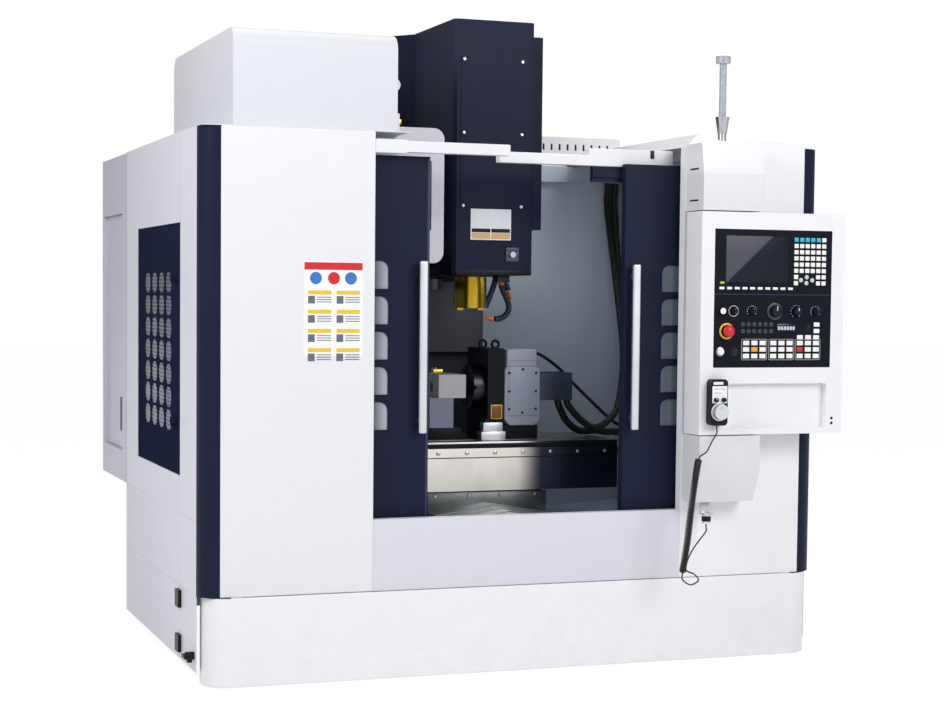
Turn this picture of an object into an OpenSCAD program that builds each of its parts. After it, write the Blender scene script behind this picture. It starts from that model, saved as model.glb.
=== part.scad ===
// Vertical machining centre with full enclosure, sizes in millimetres.
// X to the right, Y to the back, Z up; the origin is on the floor under the middle of the box.

/* [Enclosure] */
// width across the two corner strips
enc_w = 2334; // [2294:10:2394]
// height of the front panels
enc_h = 1880; // [1860:5:1910]
// depth of the side panels
side_d = 1428; // [1400:4:1460]
// depth of the electrical cabinet at the back
cab_d = 593; // [500:1:640]
// height of the plinth
plinth_h = 304; // [290:2:320]
// height of the lower front panel
low_h = 248; // [236:2:256]
// width of the left front panel
left_w = 534; // [520:2:550]
// width of the right front panel
right_w = 488; // [470:2:500]
// radius of the left corner strip
strip_l = 67; // [55:1:75]
// radius of the right corner strip
strip_r = 76; // [66:1:84]
// thickness of the folded sheet
sheet = 3; // [2:0.5:4]

/* [Doors] */
// width of one sliding door
door_w = 620; // [600:2:630]
// width of the left door that shows beside its panel
show_l = 217; // [200:1:240]
// width of the right door that shows beside its panel
show_r = 207; // [195:1:230]
// width of a door window
win_w = 330; // [260:2:340]
// height of a door window
win_h = 104; // [90:1:110]
// number of windows in a door
win_n = 5; // [3:1:5]
// length of a door handle
grip_l = 598; // [400:2:610]

/* [Axes] */
// spindle axis from the middle of the enclosure
spin_x = 37; // [30:1:44]
// spindle axis behind the front panels
spin_y = 660; // [656:1:664]
// height of the table top
table_z = 778; // [770:1:784]
// length of the table
table_l = 900; // [860:10:920]
// depth of the table
table_d = 420; // [400:2:424]
// width of the spindle head cover
head_w = 318; // [308:1:326]
// height of the spindle head cover
head_h = 940; // [890:2:960]
// height of the spindle nose face
nose_z = 1278; // [1272:1:1290]
// radius of the spindle nose
nose_r = 63; // [52:0.5:66]

/* [Rotary unit] */
// radius of the rotary faceplate
face_r = 85; // [60:1:95]
// radius of the tailstock quill
quill_r = 22; // [16:0.5:26]

/* [Pendant] */
// width of the control pendant
pend_w = 581; // [570:1:600]
// height of the control pendant
pend_h = 798; // [780:2:798]
// thickness of the control pendant
pend_t = 120; // [110:1:120]
// radius of the emergency stop head
stop_r = 22; // [16:0.5:24]

/* [Magazine] */
// width of the magazine cover
mag_w = 584; // [566:2:590]
// depth of the magazine cover
mag_d = 1030; // [1000:5:1060]
// height of the magazine cover above the panels
mag_h = 350; // [320:2:380]
// number of tool pots
pot_n = 16; // [8:1:18]

/* [Signal tower] */
// height of the lit tube
lamp_h = 196; // [120:2:240]

/* [Hidden] */
$fn = 48;
// enclosure lines
enc_off = 17;
xl = enc_off - enc_w / 2;
xr = enc_off + enc_w / 2;
fold = 40;
seam = 2;
pz = plinth_h + seam;
low_z = pz + low_h;
open_l = xl + strip_l + left_w;
open_r = xr - strip_r - right_w;
skirt_z = 45;
plinth_y = -15;
plinth_r = 85;
plinth_in = 20;
plinth_end = 100;
plinth_foot = 80;
plinth_z = 4;
deck_h = 16;
hump_w = 48;
hump_h = 37;
hump_low = 11;
hump_end = 140;
// doors
door_y = 60;
door_t = 35;
door_z0 = low_z - 14;
door_z1 = enc_h - 75;
dl1 = open_l + show_l;
dl0 = dl1 - door_w;
dr0 = open_r - show_r;
dr1 = dr0 + door_w;
win_in = 145;
win_top = 1446;
win_pitch = 122;
win_r = 34;
win_lap = 15;
pane_t = 6;
grip_w = 30;
grip_z = 846;
grip_in = 17;
grip_gap = 24;
grip_t = 18;
post_h = 26;
post_in = 30;
post_w = 18;
sill_d = 105;
sill_t = 6;
sill_gap = 4;
// door tracks
track_y = 104;
track_t = 20;
track_h = 56;
track_z = door_z1 - 63;
ridge_h = 16;
ridge_t = 6;
ridge_z = track_z + 20;
hang_l = 60;
hang_h = 36;
hang_in = 22;
hang_dx = 200;
play = 0.5;
arm_h = 38;
arm_z = track_z + track_h;
arm_l_end = spin_x - 94;
arm_r_end = spin_x - 97;
arm_lift = 16;
arm_plate = 114;
arm_drop = 5;
beam_d = 40;
beam_in = 4;
block_in = 128;
block_h = 24;
track_in = 113;
track_end = 8;
// inner walls
in_l = xl + 360;
in_r = xr - 324;
wall_y0 = 130;
throat = 470;
col_y0 = spin_y + throat;
back_y = col_y0 - 23;
wall_z1 = enc_h - 80;
vent_z1 = enc_h + 105;
vent_n = 9;
vent_w = 9;
vent_h = 26;
vent_pitch = 36;
vent_in = 60;
vent_down = 54;
rim_d = 18;
rim_h = 90;
tray_hi = 470;
tray_t = 6;
tray_gap = 48;
gland_z = enc_h - 80;
gland_x = 800;
gland_y = back_y - 22;
gland_w = 45;
gland_h = 30;
gutter_x0 = 300;
gutter_x1 = 700;
gutter_z = enc_h - 84;
gutter_h = 70;
gutter_d = 60;
// bed and column
bed_z = 430;
bed_hw = 430;
bed_y0 = 180;
bed_y1 = col_y0 + 510;
foot_r = 50;
foot_dx = 340;
foot_in = 120;
col_hw = 217;
col_y1 = col_y0 + 470;
col_z1 = 2120;
motor_w = 90;
motor_h = 200;
motor_in = 40;
y_rail_dx = 190;
y_rail_w = 30;
y_rail_h = 30;
y_rail_in = 60;
y_rail_y1 = col_y0 - 40;
z_rail_dx = 150;
z_rail_w = 30;
z_rail_t = 26;
z_rail_z0 = 1384;
z_rail_z1 = 2060;
fit = 0.4;
// saddle and table
sad_hw = 229;
sad_hd = 190;
sad_y0 = spin_y - sad_hd;
sad_y1 = spin_y + sad_hd;
sad_z0 = bed_z + 40;
sad_z1 = sad_z0 + 120;
run_w = 70;
run_z = bed_z + 6;
beam_z1 = sad_z1 + 50;
beam_x0 = spin_x - 527;
beam_x1 = spin_x + 543;
beam_hd = 140;
x_rail_dy = 110;
x_rail_w = 28;
x_rail_h = 26;
shoe_gap = 6;
tab_x = spin_x + 83;
tab_x0 = tab_x - table_l / 2;
tab_x1 = tab_x + table_l / 2;
tab_y0 = spin_y - table_d / 2;
tab_y1 = spin_y + table_d / 2;
tab_t = table_z - beam_z1 - 50;
shoe_dx = 150;
shoe_l = 100;
shoe_w = 60;
slot_n = 3;
slot_pitch = 125;
slot_w = 18;
slot_under = 30;
slot_neck = 16;
slot_deep = 32;
skirt_z1 = table_z - 24;
skirt_z0 = sad_z1 + 4;
strip_h = 33;
strip_t = 4;
bolt_r = 7;
bolt_t = 4;
bolt_n = 8;
// way covers
chev_y0 = 135;
chev_n = 4;
chev_hi = 118;
chev_lo = 84;
chev_wall = 3;
way_hw = 211;
way_y0 = back_y - 27;
way_z0 = 1096;
way_z1 = 1380;
// head
head_off = 6;
hx0 = spin_x + head_off - head_w / 2;
hx1 = spin_x + head_off + head_w / 2;
hy0 = 430;
head_z0 = 1403;
head_z1 = head_z0 + head_h;
bevel = 12;
hy_back = col_y0 - 52;
hy_flare = hy_back - 98;
hy_side = hy_flare - 75;
flare = 58;
side_box_w = 170;
side_box_y1 = hy_side - 5;
side_box_y0 = side_box_y1 - 130;
side_box_z0 = 1587;
cover_w = 254;
cover_z0 = 1648;
cover_z1 = 2206;
cover_t = 3;
head_bolt_r = 6;
bolt_in = 12;
bolt_z = 10;
bolt_out = 3;
seal_in = 10;
shaft_free = 20;
nose_gap = 7;
dog_x = 42;
dog_hw = 12;
hose_end = 20;
jet_in = 12;
dial_out = 14;
press_top = 8;
cast_x = 107;
cast_y0 = 500;
cast_z1 = 1850;
cast_y1 = way_y0 - 5;
run_y = col_y0 - 44;
run_hw = 35;
run_t = 6;
run_z0 = 1500;
run_z1 = 1800;
lip_t = 14;
ring_r = 95;
ring_t = 8;
shaft_r = 45;
shaft_z1 = 1600;
slip = 0.05;
taper_r = 22.2;
taper_l = 70;
key_w = 16;
key_h = 8;
drive_r = 97;
drive_z1 = 2290;
noz_x = spin_x + 98;
noz_w = 50;
noz_y = spin_y - 40;
noz_l = 60;
noz_h = 28;
hose_r = 8;
hose_x = spin_x + 128;
hose_y = spin_y - 20;
hose_bend = 46;
hose_z = 1247;
tip_r = 4;
tip_l = 24;
jet_y = spin_y + 8;
jet_z = 1335;
plate_x = spin_x + 82;
plate_z = 1480;
plate_w = 54;
plate_t = 4;
press_r = 11;
press_fit = 0.3;
press_out = 9;
press_in = 5;
// rotary unit and tailstock
rot_y = spin_y + 5;
rot_z = table_z + 197;
base_h = 53;
gear_x0 = spin_x + 103;
gear_w = 145;
gear_d = 150;
gear_y = spin_y - 115;
gear_z0 = table_z + base_h;
gear_z1 = table_z + 265;
neck_z1 = table_z + 340;
gear_ch = 22;
core_x0 = gear_x0 - 65;
core_y1 = gear_y + 240;
core_z1 = table_z + 348;
base_x1 = gear_x0 + 140;
box_w = 141;
box_d = 130;
box_z0 = table_z + 148;
box_z1 = table_z + 253;
core_in = 10;
box_in = 15;
neck_l = 8;
neck_r = 15;
neck_ch = 12;
cap_in = 18;
cap_out = 3;
screw_r = 4;
cap_zs = [40, 110, 182];
cap_mid = [26, 198];
face_slot = 14;
face_cut = 9;
eye_r = 14;
eye_t = 5;
eye_in = 18;
eye_dy = 60;
face_t = 45;
hub_r = 30;
hub_l = 60;
tail_x0 = spin_x - 192;
tail_w = 95;
tail_d = 200;
tail_y = spin_y - 95;
tail_base = 46;
tail_mid = table_z + 159;
tail_top = table_z + 247;
quill_x0 = tail_x0 + 39;
quill_w = 109;
quill_out = 25;
brass_r = 14;
brass_l = 36;
tail_lip = 5;
tail_cut = 20;
tail_in = 10;
brass_y = 40;
tip_len = 16;
tip_end = 3;
// pendant
pend_x0 = open_r;
pend_x1 = pend_x0 + pend_w;
pend_z0 = 836;
pend_z1 = pend_z0 + pend_h;
pend_y0 = -140;
pend_y1 = pend_y0 + pend_t;
hinge_x = pend_x0 + 40;
hinge_y = -80;
hinge_r = 14;
hinge_l = 34;
washer_r = 30;
washer_t = 4;
arm_w = 243;
arm_x = open_r + 4;
up_z0 = pend_z0 + 802;
up_z1 = up_z0 + 239;
dn_z1 = pend_z0 - washer_t;
dn_z0 = dn_z1 - 242;
slope_up = 107;
slope_dn = 115;
slope_in = 20;
slope_out = 45;
panel_x = pend_x0 + 52;
panel_w = 477;
panel_z0 = pend_z1 - 557;
panel_h = 496;
panel_t = 5;
panel_in = 6;
screen_x = panel_x + 46;
screen_w = 253;
screen_z = panel_z0 + 305;
screen_h = 168;
screen_in = 2;
tray_x = pend_x0 + 114;
tray_w = 403;
tray_z0 = pend_z0 + 21;
tray_h = 163;
tray_in = 30;
tray_r = 14;
stop_x = panel_x + 52;
stop_z = panel_z0 + 131;
start_x = panel_x + 28;
start_z = panel_z0 + 58;
start_r = 11;
knob_z = panel_z0 + 203;
mode_x = panel_x + 246;
mode_r = 20;
feed_x = panel_x + 334;
feed_r = 15;
dial_xs = [31, 79, 153, 413];
dial_r = 12;
knob_t = 20;
stem_r = 6;
stem_deep = 14;
stem_free = 12;
stop_stem = 10;
stop_out = 26;
stop_lift = 6;
// hand pulse unit
mpg_x = pend_x0 + 28;
mpg_w = 66;
mpg_z0 = pend_z0 + 36;
mpg_h = 165;
mpg_t = 38;
mpg_r = 14;
mpg_deep = 21;
wheel_x = mpg_x + 33;
wheel_z = mpg_z0 + 49;
wheel_r = 27;
wheel_t = 22;
axis_x = mpg_x + 17;
rate_x = mpg_x + 48;
sel_z = mpg_z0 + 92;
sel_r = 8;
sel_t = 11;
sel_stem = 4;
// cord socket under the lower arm
sock_x = pend_x0 + 66;
sock_y = -80;
sock_w = 36;
sock_t = 4;
sock_h = 46;
sock_in = 14;
sock_out_y = 18;
plug_r = 16;
plug_l = 34;
lead_r = 2.6;
coil_r = 13;
// cord route from the hand pulse unit to the plug
mpg_mid = mpg_x + 33;
mpg_back = pend_y0 - 20;
plug_z = dn_z0 - sock_h - plug_l;
cord_top = [[mpg_mid, mpg_back, mpg_z0], [mpg_mid, mpg_back, mpg_z0 - 14],
    [mpg_mid, mpg_back, mpg_z0 - 28],
  [660, -166, 815], [638, -170, 780], [620, -170, 768]];
cord_coil = [[607, -170, 754], [594, -172, 690], [577, -172, 561], [564, -171, 448], [549, -170, 348]];
cord_low = [[554, -165, 322], [588, -160, 303], [621, -155, 318], [604, -150, 340], [576, -146, 354],
  [585, -138, 388], [612, -125, 425], [650, -102, 455]];
cord_end = [[sock_x, sock_y, plug_z - 28], [sock_x, sock_y, plug_z - 14], [sock_x, sock_y, plug_z]];
// conduit routes from the gland on the back wall to the rotary motor box
pipe_r = 14;
pipe_x1 = gear_x0 + gear_w + 125;
pipe_x2 = gear_x0 + gear_w + 75;
pipe_y = gear_y + 40;
pipe_dx = 22;
lay_z = table_z + 152;
hang_hi = lay_z + (gland_z - lay_z) * 0.655;
hang_lo = lay_z + (gland_z - lay_z) * 0.287;
end_a = [[pipe_x1, pipe_y, box_z0 - 36], [pipe_x1, pipe_y, box_z0 - 18], [pipe_x1, pipe_y, box_z0]];
end_b = [[pipe_x2, pipe_y + 22, box_z0 - 36], [pipe_x2, pipe_y + 22, box_z0 - 18],
    [pipe_x2, pipe_y + 22, box_z0]];
pipe_a = concat([for (k = [0, 40, 110]) [gland_x + pipe_dx, gland_y, gland_z - k]],
  [[828, 1045, hang_hi], [822, 965, hang_lo], [775, 880, lay_z], [660, 770, 825], [540, 680, 812],
  [pipe_x1 + 34, pipe_y + 30, 836], [pipe_x1 + 6, pipe_y + 6, 866]], end_a);
pipe_b = concat([for (k = [0, 40, 110]) [gland_x - pipe_dx, gland_y, gland_z - k]],
  [[784, 1060, hang_hi], [776, 1000, hang_lo], [735, 930, lay_z + 10], [630, 820, 850], [500, 735, 832],
  [pipe_x2 + 40, pipe_y + 56, 844], [pipe_x2 + 8, pipe_y + 28, 868]], end_b);
// magazine
mag_x0 = xl + 142;
mag_x1 = mag_x0 + mag_w;
mag_y0 = 150;
mag_y1 = mag_y0 + mag_d;
mag_r = 55;
shroud_x1 = -165;
shroud_y = 395;
shroud_y1 = 860;
shroud_z0 = enc_h - 437;
shroud_z1 = enc_h + 55;
shroud_r = 40;
shroud_lip = 160;
slot_in = 60;
slot_wide = 12;
slot_end = 120;
ring_y = 720;
pot_in = 40;
ring_z = enc_h - 80;
pot_ring = 250;
pot_r = 34;
pot_l = 120;
disc_t = 20;
disc_x = -620;
axle_r = 30;
gear_box_w = 120;
swap_x = -203;
swap_z0 = shroud_z0 - 98;
swap_step = 10;
grip_r = 28;
swap_t = 40;
swap_l = 232;
swap_w = 70;
swap_r = 20;
drive_z0 = enc_h - 135;
drive_z = enc_h - 20;
drive_in = 30;
drive_d = 100;
drive_gap = 10;
drive_back = 80;
link_w = 95;
link_hd = 40;
link_h = 55;
box_hd = 60;
box_out = 26;
hub_step = 25;
rim_step = 10;
end_r = 45;
jaw_w = 60;
jaw_hd = 24;
// side door and cabinet door
sd_y0 = 346;
sd_y1 = 1171;
sd_z0 = 690;
sd_z1 = 1568;
sd_t = 25;
sd_gap = 2;
pill_n = 4;
pill_m = 7;
pill_w = 106;
pill_h = 72;
pill_dy = 135;
pill_dz = 82;
pill_y = 555;
pill_z = 870;
filter_t = 2;
pin_r = 4;
pin_l = 20;
pivot_t = 10;
latch_r = 16;
latch_out = 22;
latch_y = 400;
latch_lo = 186;
latch_hi = 191;
piv_r = sd_t / 2;
sd_py = sd_y1 - piv_r;
cd_y0 = side_d + 102;
cd_y1 = side_d + cab_d - 31;
cd_z0 = 680;
cd_z1 = 1645;
cd_in = 18;
cd_wall = 60;
cd_py = cd_y1 - piv_r;
cd_gap = 4;
cab_z0 = 557;
cab_x1 = spin_x - col_hw;
lever_h = 139;
lever_w = 22;
lever_out = 20;
lever_y = 14;
lever_z = 79;
// side fittings
sock_size = 60;
sock_out = 12;
sock_fy = 312;
sock_z_hi = 228;
sock_z_lo = 71;
tap_y = 100;
tap_z = 98;
tap_r = 14;
tap_l = 30;
spout_r = 9;
spout_l = 22;
lev_t = 8;
lev_l = 44;
lev_w = 12;
lev_pin = 4;
lev_deep = 12;
lev_free = 3;
// signal tower
lamp_x = open_r + 197;
lamp_y = 100;
lamp_z = enc_h + deck_h;
lamp_r = 13;
flange_r = 38;
flange_t = 4;
pole_r = 15;
pole_h = 34;
cup_r0 = 17;
cup_r1 = 26;
cup_h = 62;
cap_r = 27;
cap_h = 26;
// air unit on the magazine cover
air_y = 270;
air_z = enc_h + 20;
air_w = 46;
air_d = 40;
air_low = 6;
air_h = 64;
bowl_r = 16;
bowl_h = 130;
gauge_r = 22;
gauge_t = 20;
gauge_z = 170;
stay_h = 40;
stay_in = 10;
// front most and right most points give the origin
front_y = pend_y0 - mpg_t - wheel_t;
mid_x = (xl - tap_l - lev_t + pend_x1) / 2;
mid_y = (front_y + side_d + cab_d) / 2;

// colours
white = [0.93, 0.93, 0.95];
lilac = [0.78, 0.78, 0.84];
navy = [0.11, 0.12, 0.2];
black = [0.05, 0.05, 0.06];
steel = [0.6, 0.6, 0.62];
iron = [0.35, 0.36, 0.38];
glass = [0.4, 0.45, 0.52];
brass = [0.75, 0.6, 0.25];
red = [0.75, 0.08, 0.08];

module seat() {
  translate([-mid_x, -mid_y, 0]) children();
}

module slab(a, b) {
  translate(a) cube(b - a);
}

module rod_x(p, l, r) {
  translate(p) rotate([0, 90, 0]) cylinder(h = l, r = r);
}

module rod_y(p, l, r) {
  translate(p) rotate([-90, 0, 0]) cylinder(h = l, r = r);
}

// a folded sheet panel that is open at the back
module pan(a, b, d) {
  difference() {
    slab([a[0], a[1], a[2]], [b[0], a[1] + d, b[1]]);
    slab([a[0] + sheet, a[1] + sheet, a[2] + sheet], [b[0] - sheet, a[1] + d + 1, b[1] - sheet]);
  }
}

// flat outline with rounded corners
module round_rect(w, h, r) {
  translate([r, 0]) square([w - 2 * r, h]);
  translate([0, r]) square([w, h - 2 * r]);
  for (x = [r, w - r], y = [r, h - r]) translate([x, y]) circle(r);
}

// rounded plate that stands in the XZ plane with its front at y
module face_plate(x, y, z, w, h, t, r) {
  translate([x, y + t, z]) rotate([90, 0, 0]) linear_extrude(t) round_rect(w, h, r);
}

// points and rings of a round cord along a route
function unit(v) = v / norm(v);
function at(p, i) = p[max(0, min(len(p) - 1, i))];
function curve(p, i, t) = let (a = at(p, i - 1), b = at(p, i), c = at(p, i + 1), d = at(p, i + 2))
  0.5 * (2 * b + (c - a) * t + (2 * a - 5 * b + 4 * c - d) * t * t + (3 * b - a - 3 * c + d) * t * t * t);
function smooth(p, n) = [for (i = [0 : len(p) - 2], k = [0 : n - 1]) curve(p, i, k / n), p[len(p) - 1]];
function heading(q, i) = unit(at(q, i + 1) - at(q, i - 1));
function rim(q, i, r, m) = let (t = heading(q, i), u = unit([0, 1, 0] - t[1] * t), w = cross(t, u))
  [for (k = [0 : m - 1]) q[i] + r * (cos(360 * k / m) * u + sin(360 * k / m) * w)];

module cord(q, rs, m) {
  n = len(q);
  pts = [for (i = [0 : n - 1]) each rim(q, i, rs[i], m)];
  quads = [for (i = [0 : n - 2], k = [0 : m - 1])
    each [[i * m + k, i * m + (k + 1) % m, (i + 1) * m + k],
      [i * m + (k + 1) % m, (i + 1) * m + (k + 1) % m, (i + 1) * m + k]]];
  ends = [[for (k = [m - 1 : -1 : 0]) k], [for (k = [0 : m - 1]) (n - 1) * m + k]];
  polyhedron(points = pts, faces = concat(quads, ends));
}

module base_casting() color(iron) seat() {
  slab([spin_x - bed_hw, bed_y0, skirt_z], [spin_x + bed_hw, bed_y1, bed_z]);
  for (x = [-foot_dx, foot_dx], y = [bed_y0 + foot_in, (bed_y0 + bed_y1) / 2, bed_y1 - foot_in])
    translate([spin_x + x, y, 0]) cylinder(h = skirt_z, r = foot_r);
  for (s = [-1, 1])
    slab([spin_x + s * y_rail_dx - y_rail_w / 2, bed_y0 + y_rail_in, bed_z],
      [spin_x + s * y_rail_dx + y_rail_w / 2, y_rail_y1, bed_z + y_rail_h]);
}

module column_casting() color(iron) seat() {
  slab([spin_x - col_hw, col_y0, bed_z], [spin_x + col_hw, col_y1, col_z1]);
  for (s = [-1, 1])
    slab([spin_x + s * z_rail_dx - z_rail_w / 2, col_y0 - z_rail_t, z_rail_z0],
      [spin_x + s * z_rail_dx + z_rail_w / 2, col_y0, z_rail_z1]);
  slab([spin_x - motor_w, col_y0 + motor_in, col_z1],
    [spin_x + motor_w, col_y0 + motor_in + 2 * motor_w, col_z1 + motor_h]);
}

module plinth() color(white) seat() {
  x0 = xl + plinth_in;
  x1 = xr - plinth_in;
  translate([x0 + plinth_r, plinth_y + plinth_r, plinth_z]) rotate([0, 0, 180])
    strip(plinth_r, plinth_h - plinth_z);
  translate([x1 - plinth_r, plinth_y + plinth_r, plinth_z]) rotate([0, 0, 270])
    strip(plinth_r, plinth_h - plinth_z);
  slab([x0 + plinth_r, plinth_y, plinth_z], [x1 - plinth_r, plinth_y + sheet, plinth_h]);
  for (x = [x0, x1 - sheet])
    slab([x, plinth_y + plinth_r, plinth_z], [x + sheet, plinth_end, plinth_h]);
  slab([x0 + plinth_r, plinth_y + sheet, plinth_h - sheet], [x1 - plinth_r, fold, plinth_h]);
  for (x = [x0 + plinth_r, x1 - plinth_r - fold])
    slab([x, sheet, plinth_h - sheet], [x + fold, fold, pz]);
  slab([spin_x - bed_hw, fold, plinth_h - plinth_foot],
      [spin_x + bed_hw, bed_y0, plinth_h - plinth_foot + sheet]);
  slab([spin_x - bed_hw, fold - sheet, plinth_h - plinth_foot], [spin_x + bed_hw, fold, plinth_h]);
}

module left_front_panel() color(white) seat() {
  pan([xl + strip_l, 0, pz], [open_l, enc_h], fold);
}

// front outline of the right panel, whose inner top corner rises to the roof edge
module right_plan(g) {
  z1 = enc_h + deck_h - g;
  polygon([[open_r + g, pz + g], [xr - strip_r - g, pz + g], [xr - strip_r - g, z1],
      [open_r + hump_end, z1],
    [open_r + hump_w, enc_h + hump_h - g], [open_r + g, enc_h - hump_low - g / 2]]);
}

module right_front_panel() color(white) seat() {
  translate([0, fold, 0]) rotate([90, 0, 0]) difference() {
    linear_extrude(fold) right_plan(0);
    translate([0, 0, -1]) linear_extrude(fold + 1 - sheet) right_plan(sheet);
  }
  translate([0, back_y, 0]) rotate([90, 0, 0]) linear_extrude(back_y - fold + 1) {
    z1 = enc_h + deck_h;
    polygon([[open_r, enc_h - hump_low], [open_r + hump_w, enc_h + hump_h], [open_r + hump_end, z1],
      [xr - strip_r, z1], [xr - strip_r, z1 - sheet], [open_r + hump_end, z1 - sheet],
      [open_r + hump_w, enc_h + hump_h - sheet], [open_r + sheet, enc_h - hump_low]]);
  }
}

module lower_front_panel() color(white) seat() {
  pan([open_l, 0, pz], [open_r, low_z], fold);
  slab([open_l, sheet / 2, door_z0 - sill_gap - sill_t], [open_r, sill_d, door_z0 - sill_gap]);
}

module strip(r, h) {
  rotate_extrude(angle = 90) translate([r - sheet, 0]) square([sheet, h]);
}

module corner_trims() color(navy) seat() {
  translate([xl + strip_l, strip_l, pz]) rotate([0, 0, 180]) strip(strip_l, enc_h - pz);
  translate([xr - strip_r, strip_r, pz]) rotate([0, 0, 270]) strip(strip_r, enc_h - pz);
  for (x = [xl + strip_l - sheet, xr - strip_r])
    slab([x, sheet / 2, pz], [x + sheet, fold, enc_h]);
}

// pin that a side door turns on, standing in its rounded back edge
module pivot(x, y, z, h) {
  translate([x, y, z]) cylinder(h = h, r = pin_r);
}

// a door leaf with a rounded back edge round its pivot and the two holes for the pins
module leaf(x, y0, y1, z0, z1) {
  difference() {
    union() {
      slab([x, y0, z0], [x + sd_t, y1 - piv_r, z1]);
      translate([x + piv_r, y1 - piv_r, z0]) cylinder(h = z1 - z0, r = piv_r);
    }
    for (z = [z0 - 1, z1 - pin_l - 1])
      translate([x + piv_r, y1 - piv_r, z]) cylinder(h = pin_l + 2, r = pin_r + slip);
  }
}

module left_side_panel() color(lilac) seat() {
  difference() {
    slab([xl, strip_l, skirt_z], [xl + sheet, side_d, enc_h]);
    slab([xl - 1, sd_y0 - sd_gap, sd_z0 - sd_gap], [xl + sheet + 1, sd_y1 + sd_gap, sd_z1 + sd_gap]);
    for (z = [pz - seam, cab_z0])
      slab([xl - 1, strip_l + 1, z], [xl + sheet / 3, side_d + 1, z + seam]);
    slab([xl - 1, sd_y0 - sd_gap - seam, pz], [xl + sheet / 3, sd_y0 - sd_gap, enc_h + 1]);
  }
  slab([xl, strip_l + 1, enc_h - sheet], [xl + fold, side_d, enc_h]);
  slab([xl, side_d - sheet, cab_z0], [xl + fold, side_d, enc_h]);
  slab([xl, side_d - sheet, skirt_z], [spin_x - bed_hw, side_d, cab_z0]);
  for (z = [sd_z0 - sd_gap - pivot_t, sd_z1 + sd_gap])
    slab([xl + sheet - 1, sd_py - piv_r, z], [xl + sd_t, sd_py + piv_r, z + pivot_t]);
  pivot(xl + piv_r, sd_py, sd_z0 - sd_gap - 1, pin_l);
  pivot(xl + piv_r, sd_py, sd_z1 + sd_gap + 1 - pin_l, pin_l);
}

module right_side_panel() color(lilac) seat() {
  slab([xr - sheet, strip_r, skirt_z], [xr, side_d, enc_h]);
  slab([xr - fold, strip_r + 1, enc_h - sheet], [xr, side_d, enc_h]);
  slab([spin_x + bed_hw, side_d - sheet, skirt_z], [xr, side_d, enc_h]);
  slab([spin_x + col_hw, side_d - sheet, bed_z], [spin_x + bed_hw + 1, side_d, enc_h]);
}

module tray_half(x0, x1) {
  translate([0, back_y, 0]) rotate([90, 0, 0]) linear_extrude(back_y - wall_y0)
    polygon([[x0, tray_hi], [x1, bed_z + tray_t], [x1, bed_z], [x1 + sign(x0 - x1) * tray_t, bed_z],
      [x0, tray_hi - tray_t]]);
}

module inner_left_wall() color(lilac) seat() {
  slab([in_l, wall_y0, tray_hi - tray_t], [in_l + sheet, back_y, wall_z1]);
  tray_half(in_l, spin_x - sad_hw - tray_gap);
}

module inner_right_wall() color(lilac) seat() {
  slab([in_r - sheet, wall_y0, tray_hi - tray_t], [in_r, back_y, enc_h + deck_h - sheet]);
  tray_half(in_r, spin_x + sad_hw + tray_gap);
}

module back_wall() color(lilac) seat() {
  x0 = spin_x + col_hw;
  difference() {
    slab([x0, back_y, bed_z], [in_r, back_y + sheet, vent_z1]);
    for (i = [0 : vent_n - 1])
      translate([in_r - vent_in - i * vent_pitch, back_y - 1, vent_z1 - vent_down])
          cube([vent_w, sheet + 2, vent_h]);
  }
  slab([x0, back_y + rim_d, vent_z1 - rim_h], [in_r, back_y + rim_d + sheet, vent_z1]);
  slab([x0, back_y, vent_z1 - sheet], [in_r, back_y + rim_d + sheet, vent_z1]);
  slab([x0, back_y, bed_z], [x0 + sheet, col_y0, vent_z1]);
  slab([in_l, back_y, bed_z], [spin_x - col_hw, back_y + sheet, drive_z0 - tray_t]);
  slab([spin_x - col_hw - sheet, back_y, bed_z], [spin_x - col_hw, col_y0, drive_z0 - tray_t]);
  slab([gland_x - gland_w, gland_y - gland_h, gland_z], [gland_x + gland_w, back_y, gland_z + gland_h]);
  translate([0, back_y, 0]) rotate([90, 0, 0]) linear_extrude(gutter_d)
    polygon([[gutter_x0, gutter_z], [gutter_x1 - gutter_h * 1.5, gutter_z],
        [gutter_x1, gutter_z + gutter_h * 0.55],
      [gutter_x1, gutter_z + gutter_h * 0.85], [gutter_x0, gutter_z + gutter_h]]);
}

module track(x0, x1) {
  slab([x0, track_y, track_z], [x1, track_y + track_t, track_z + track_h]);
  slab([x0, track_y - ridge_t, ridge_z], [x1, track_y, ridge_z + ridge_h]);
}

module header_rails() color(white) seat() {
  track(xl + sheet, dl1 - track_end);
  track(dr0 - track_in, xr - sheet);
  slab([open_l, 0, arm_z + arm_lift], [arm_l_end, fold, arm_z + arm_lift + arm_h]);
  slab([open_l, 0, arm_z + arm_lift - arm_drop],
    [open_l + arm_plate, fold, arm_z + arm_lift + arm_h + beam_in]);
  slab([arm_r_end, track_y - beam_in, arm_z], [open_r, track_y - beam_in + beam_d, arm_z + arm_h]);
  slab([dr0 - block_in, track_y - beam_in, arm_z],
    [open_r, track_y - beam_in + beam_d, arm_z + arm_h + block_h]);
}

module arm_profile(a, b) {
  translate([arm_x, 0, 0]) rotate([90, 0, 90]) linear_extrude(arm_w)
    polygon(concat([[0, a[0]], [pend_y0, a[0]]], b, [[0, a[1]]]));
}

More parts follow.
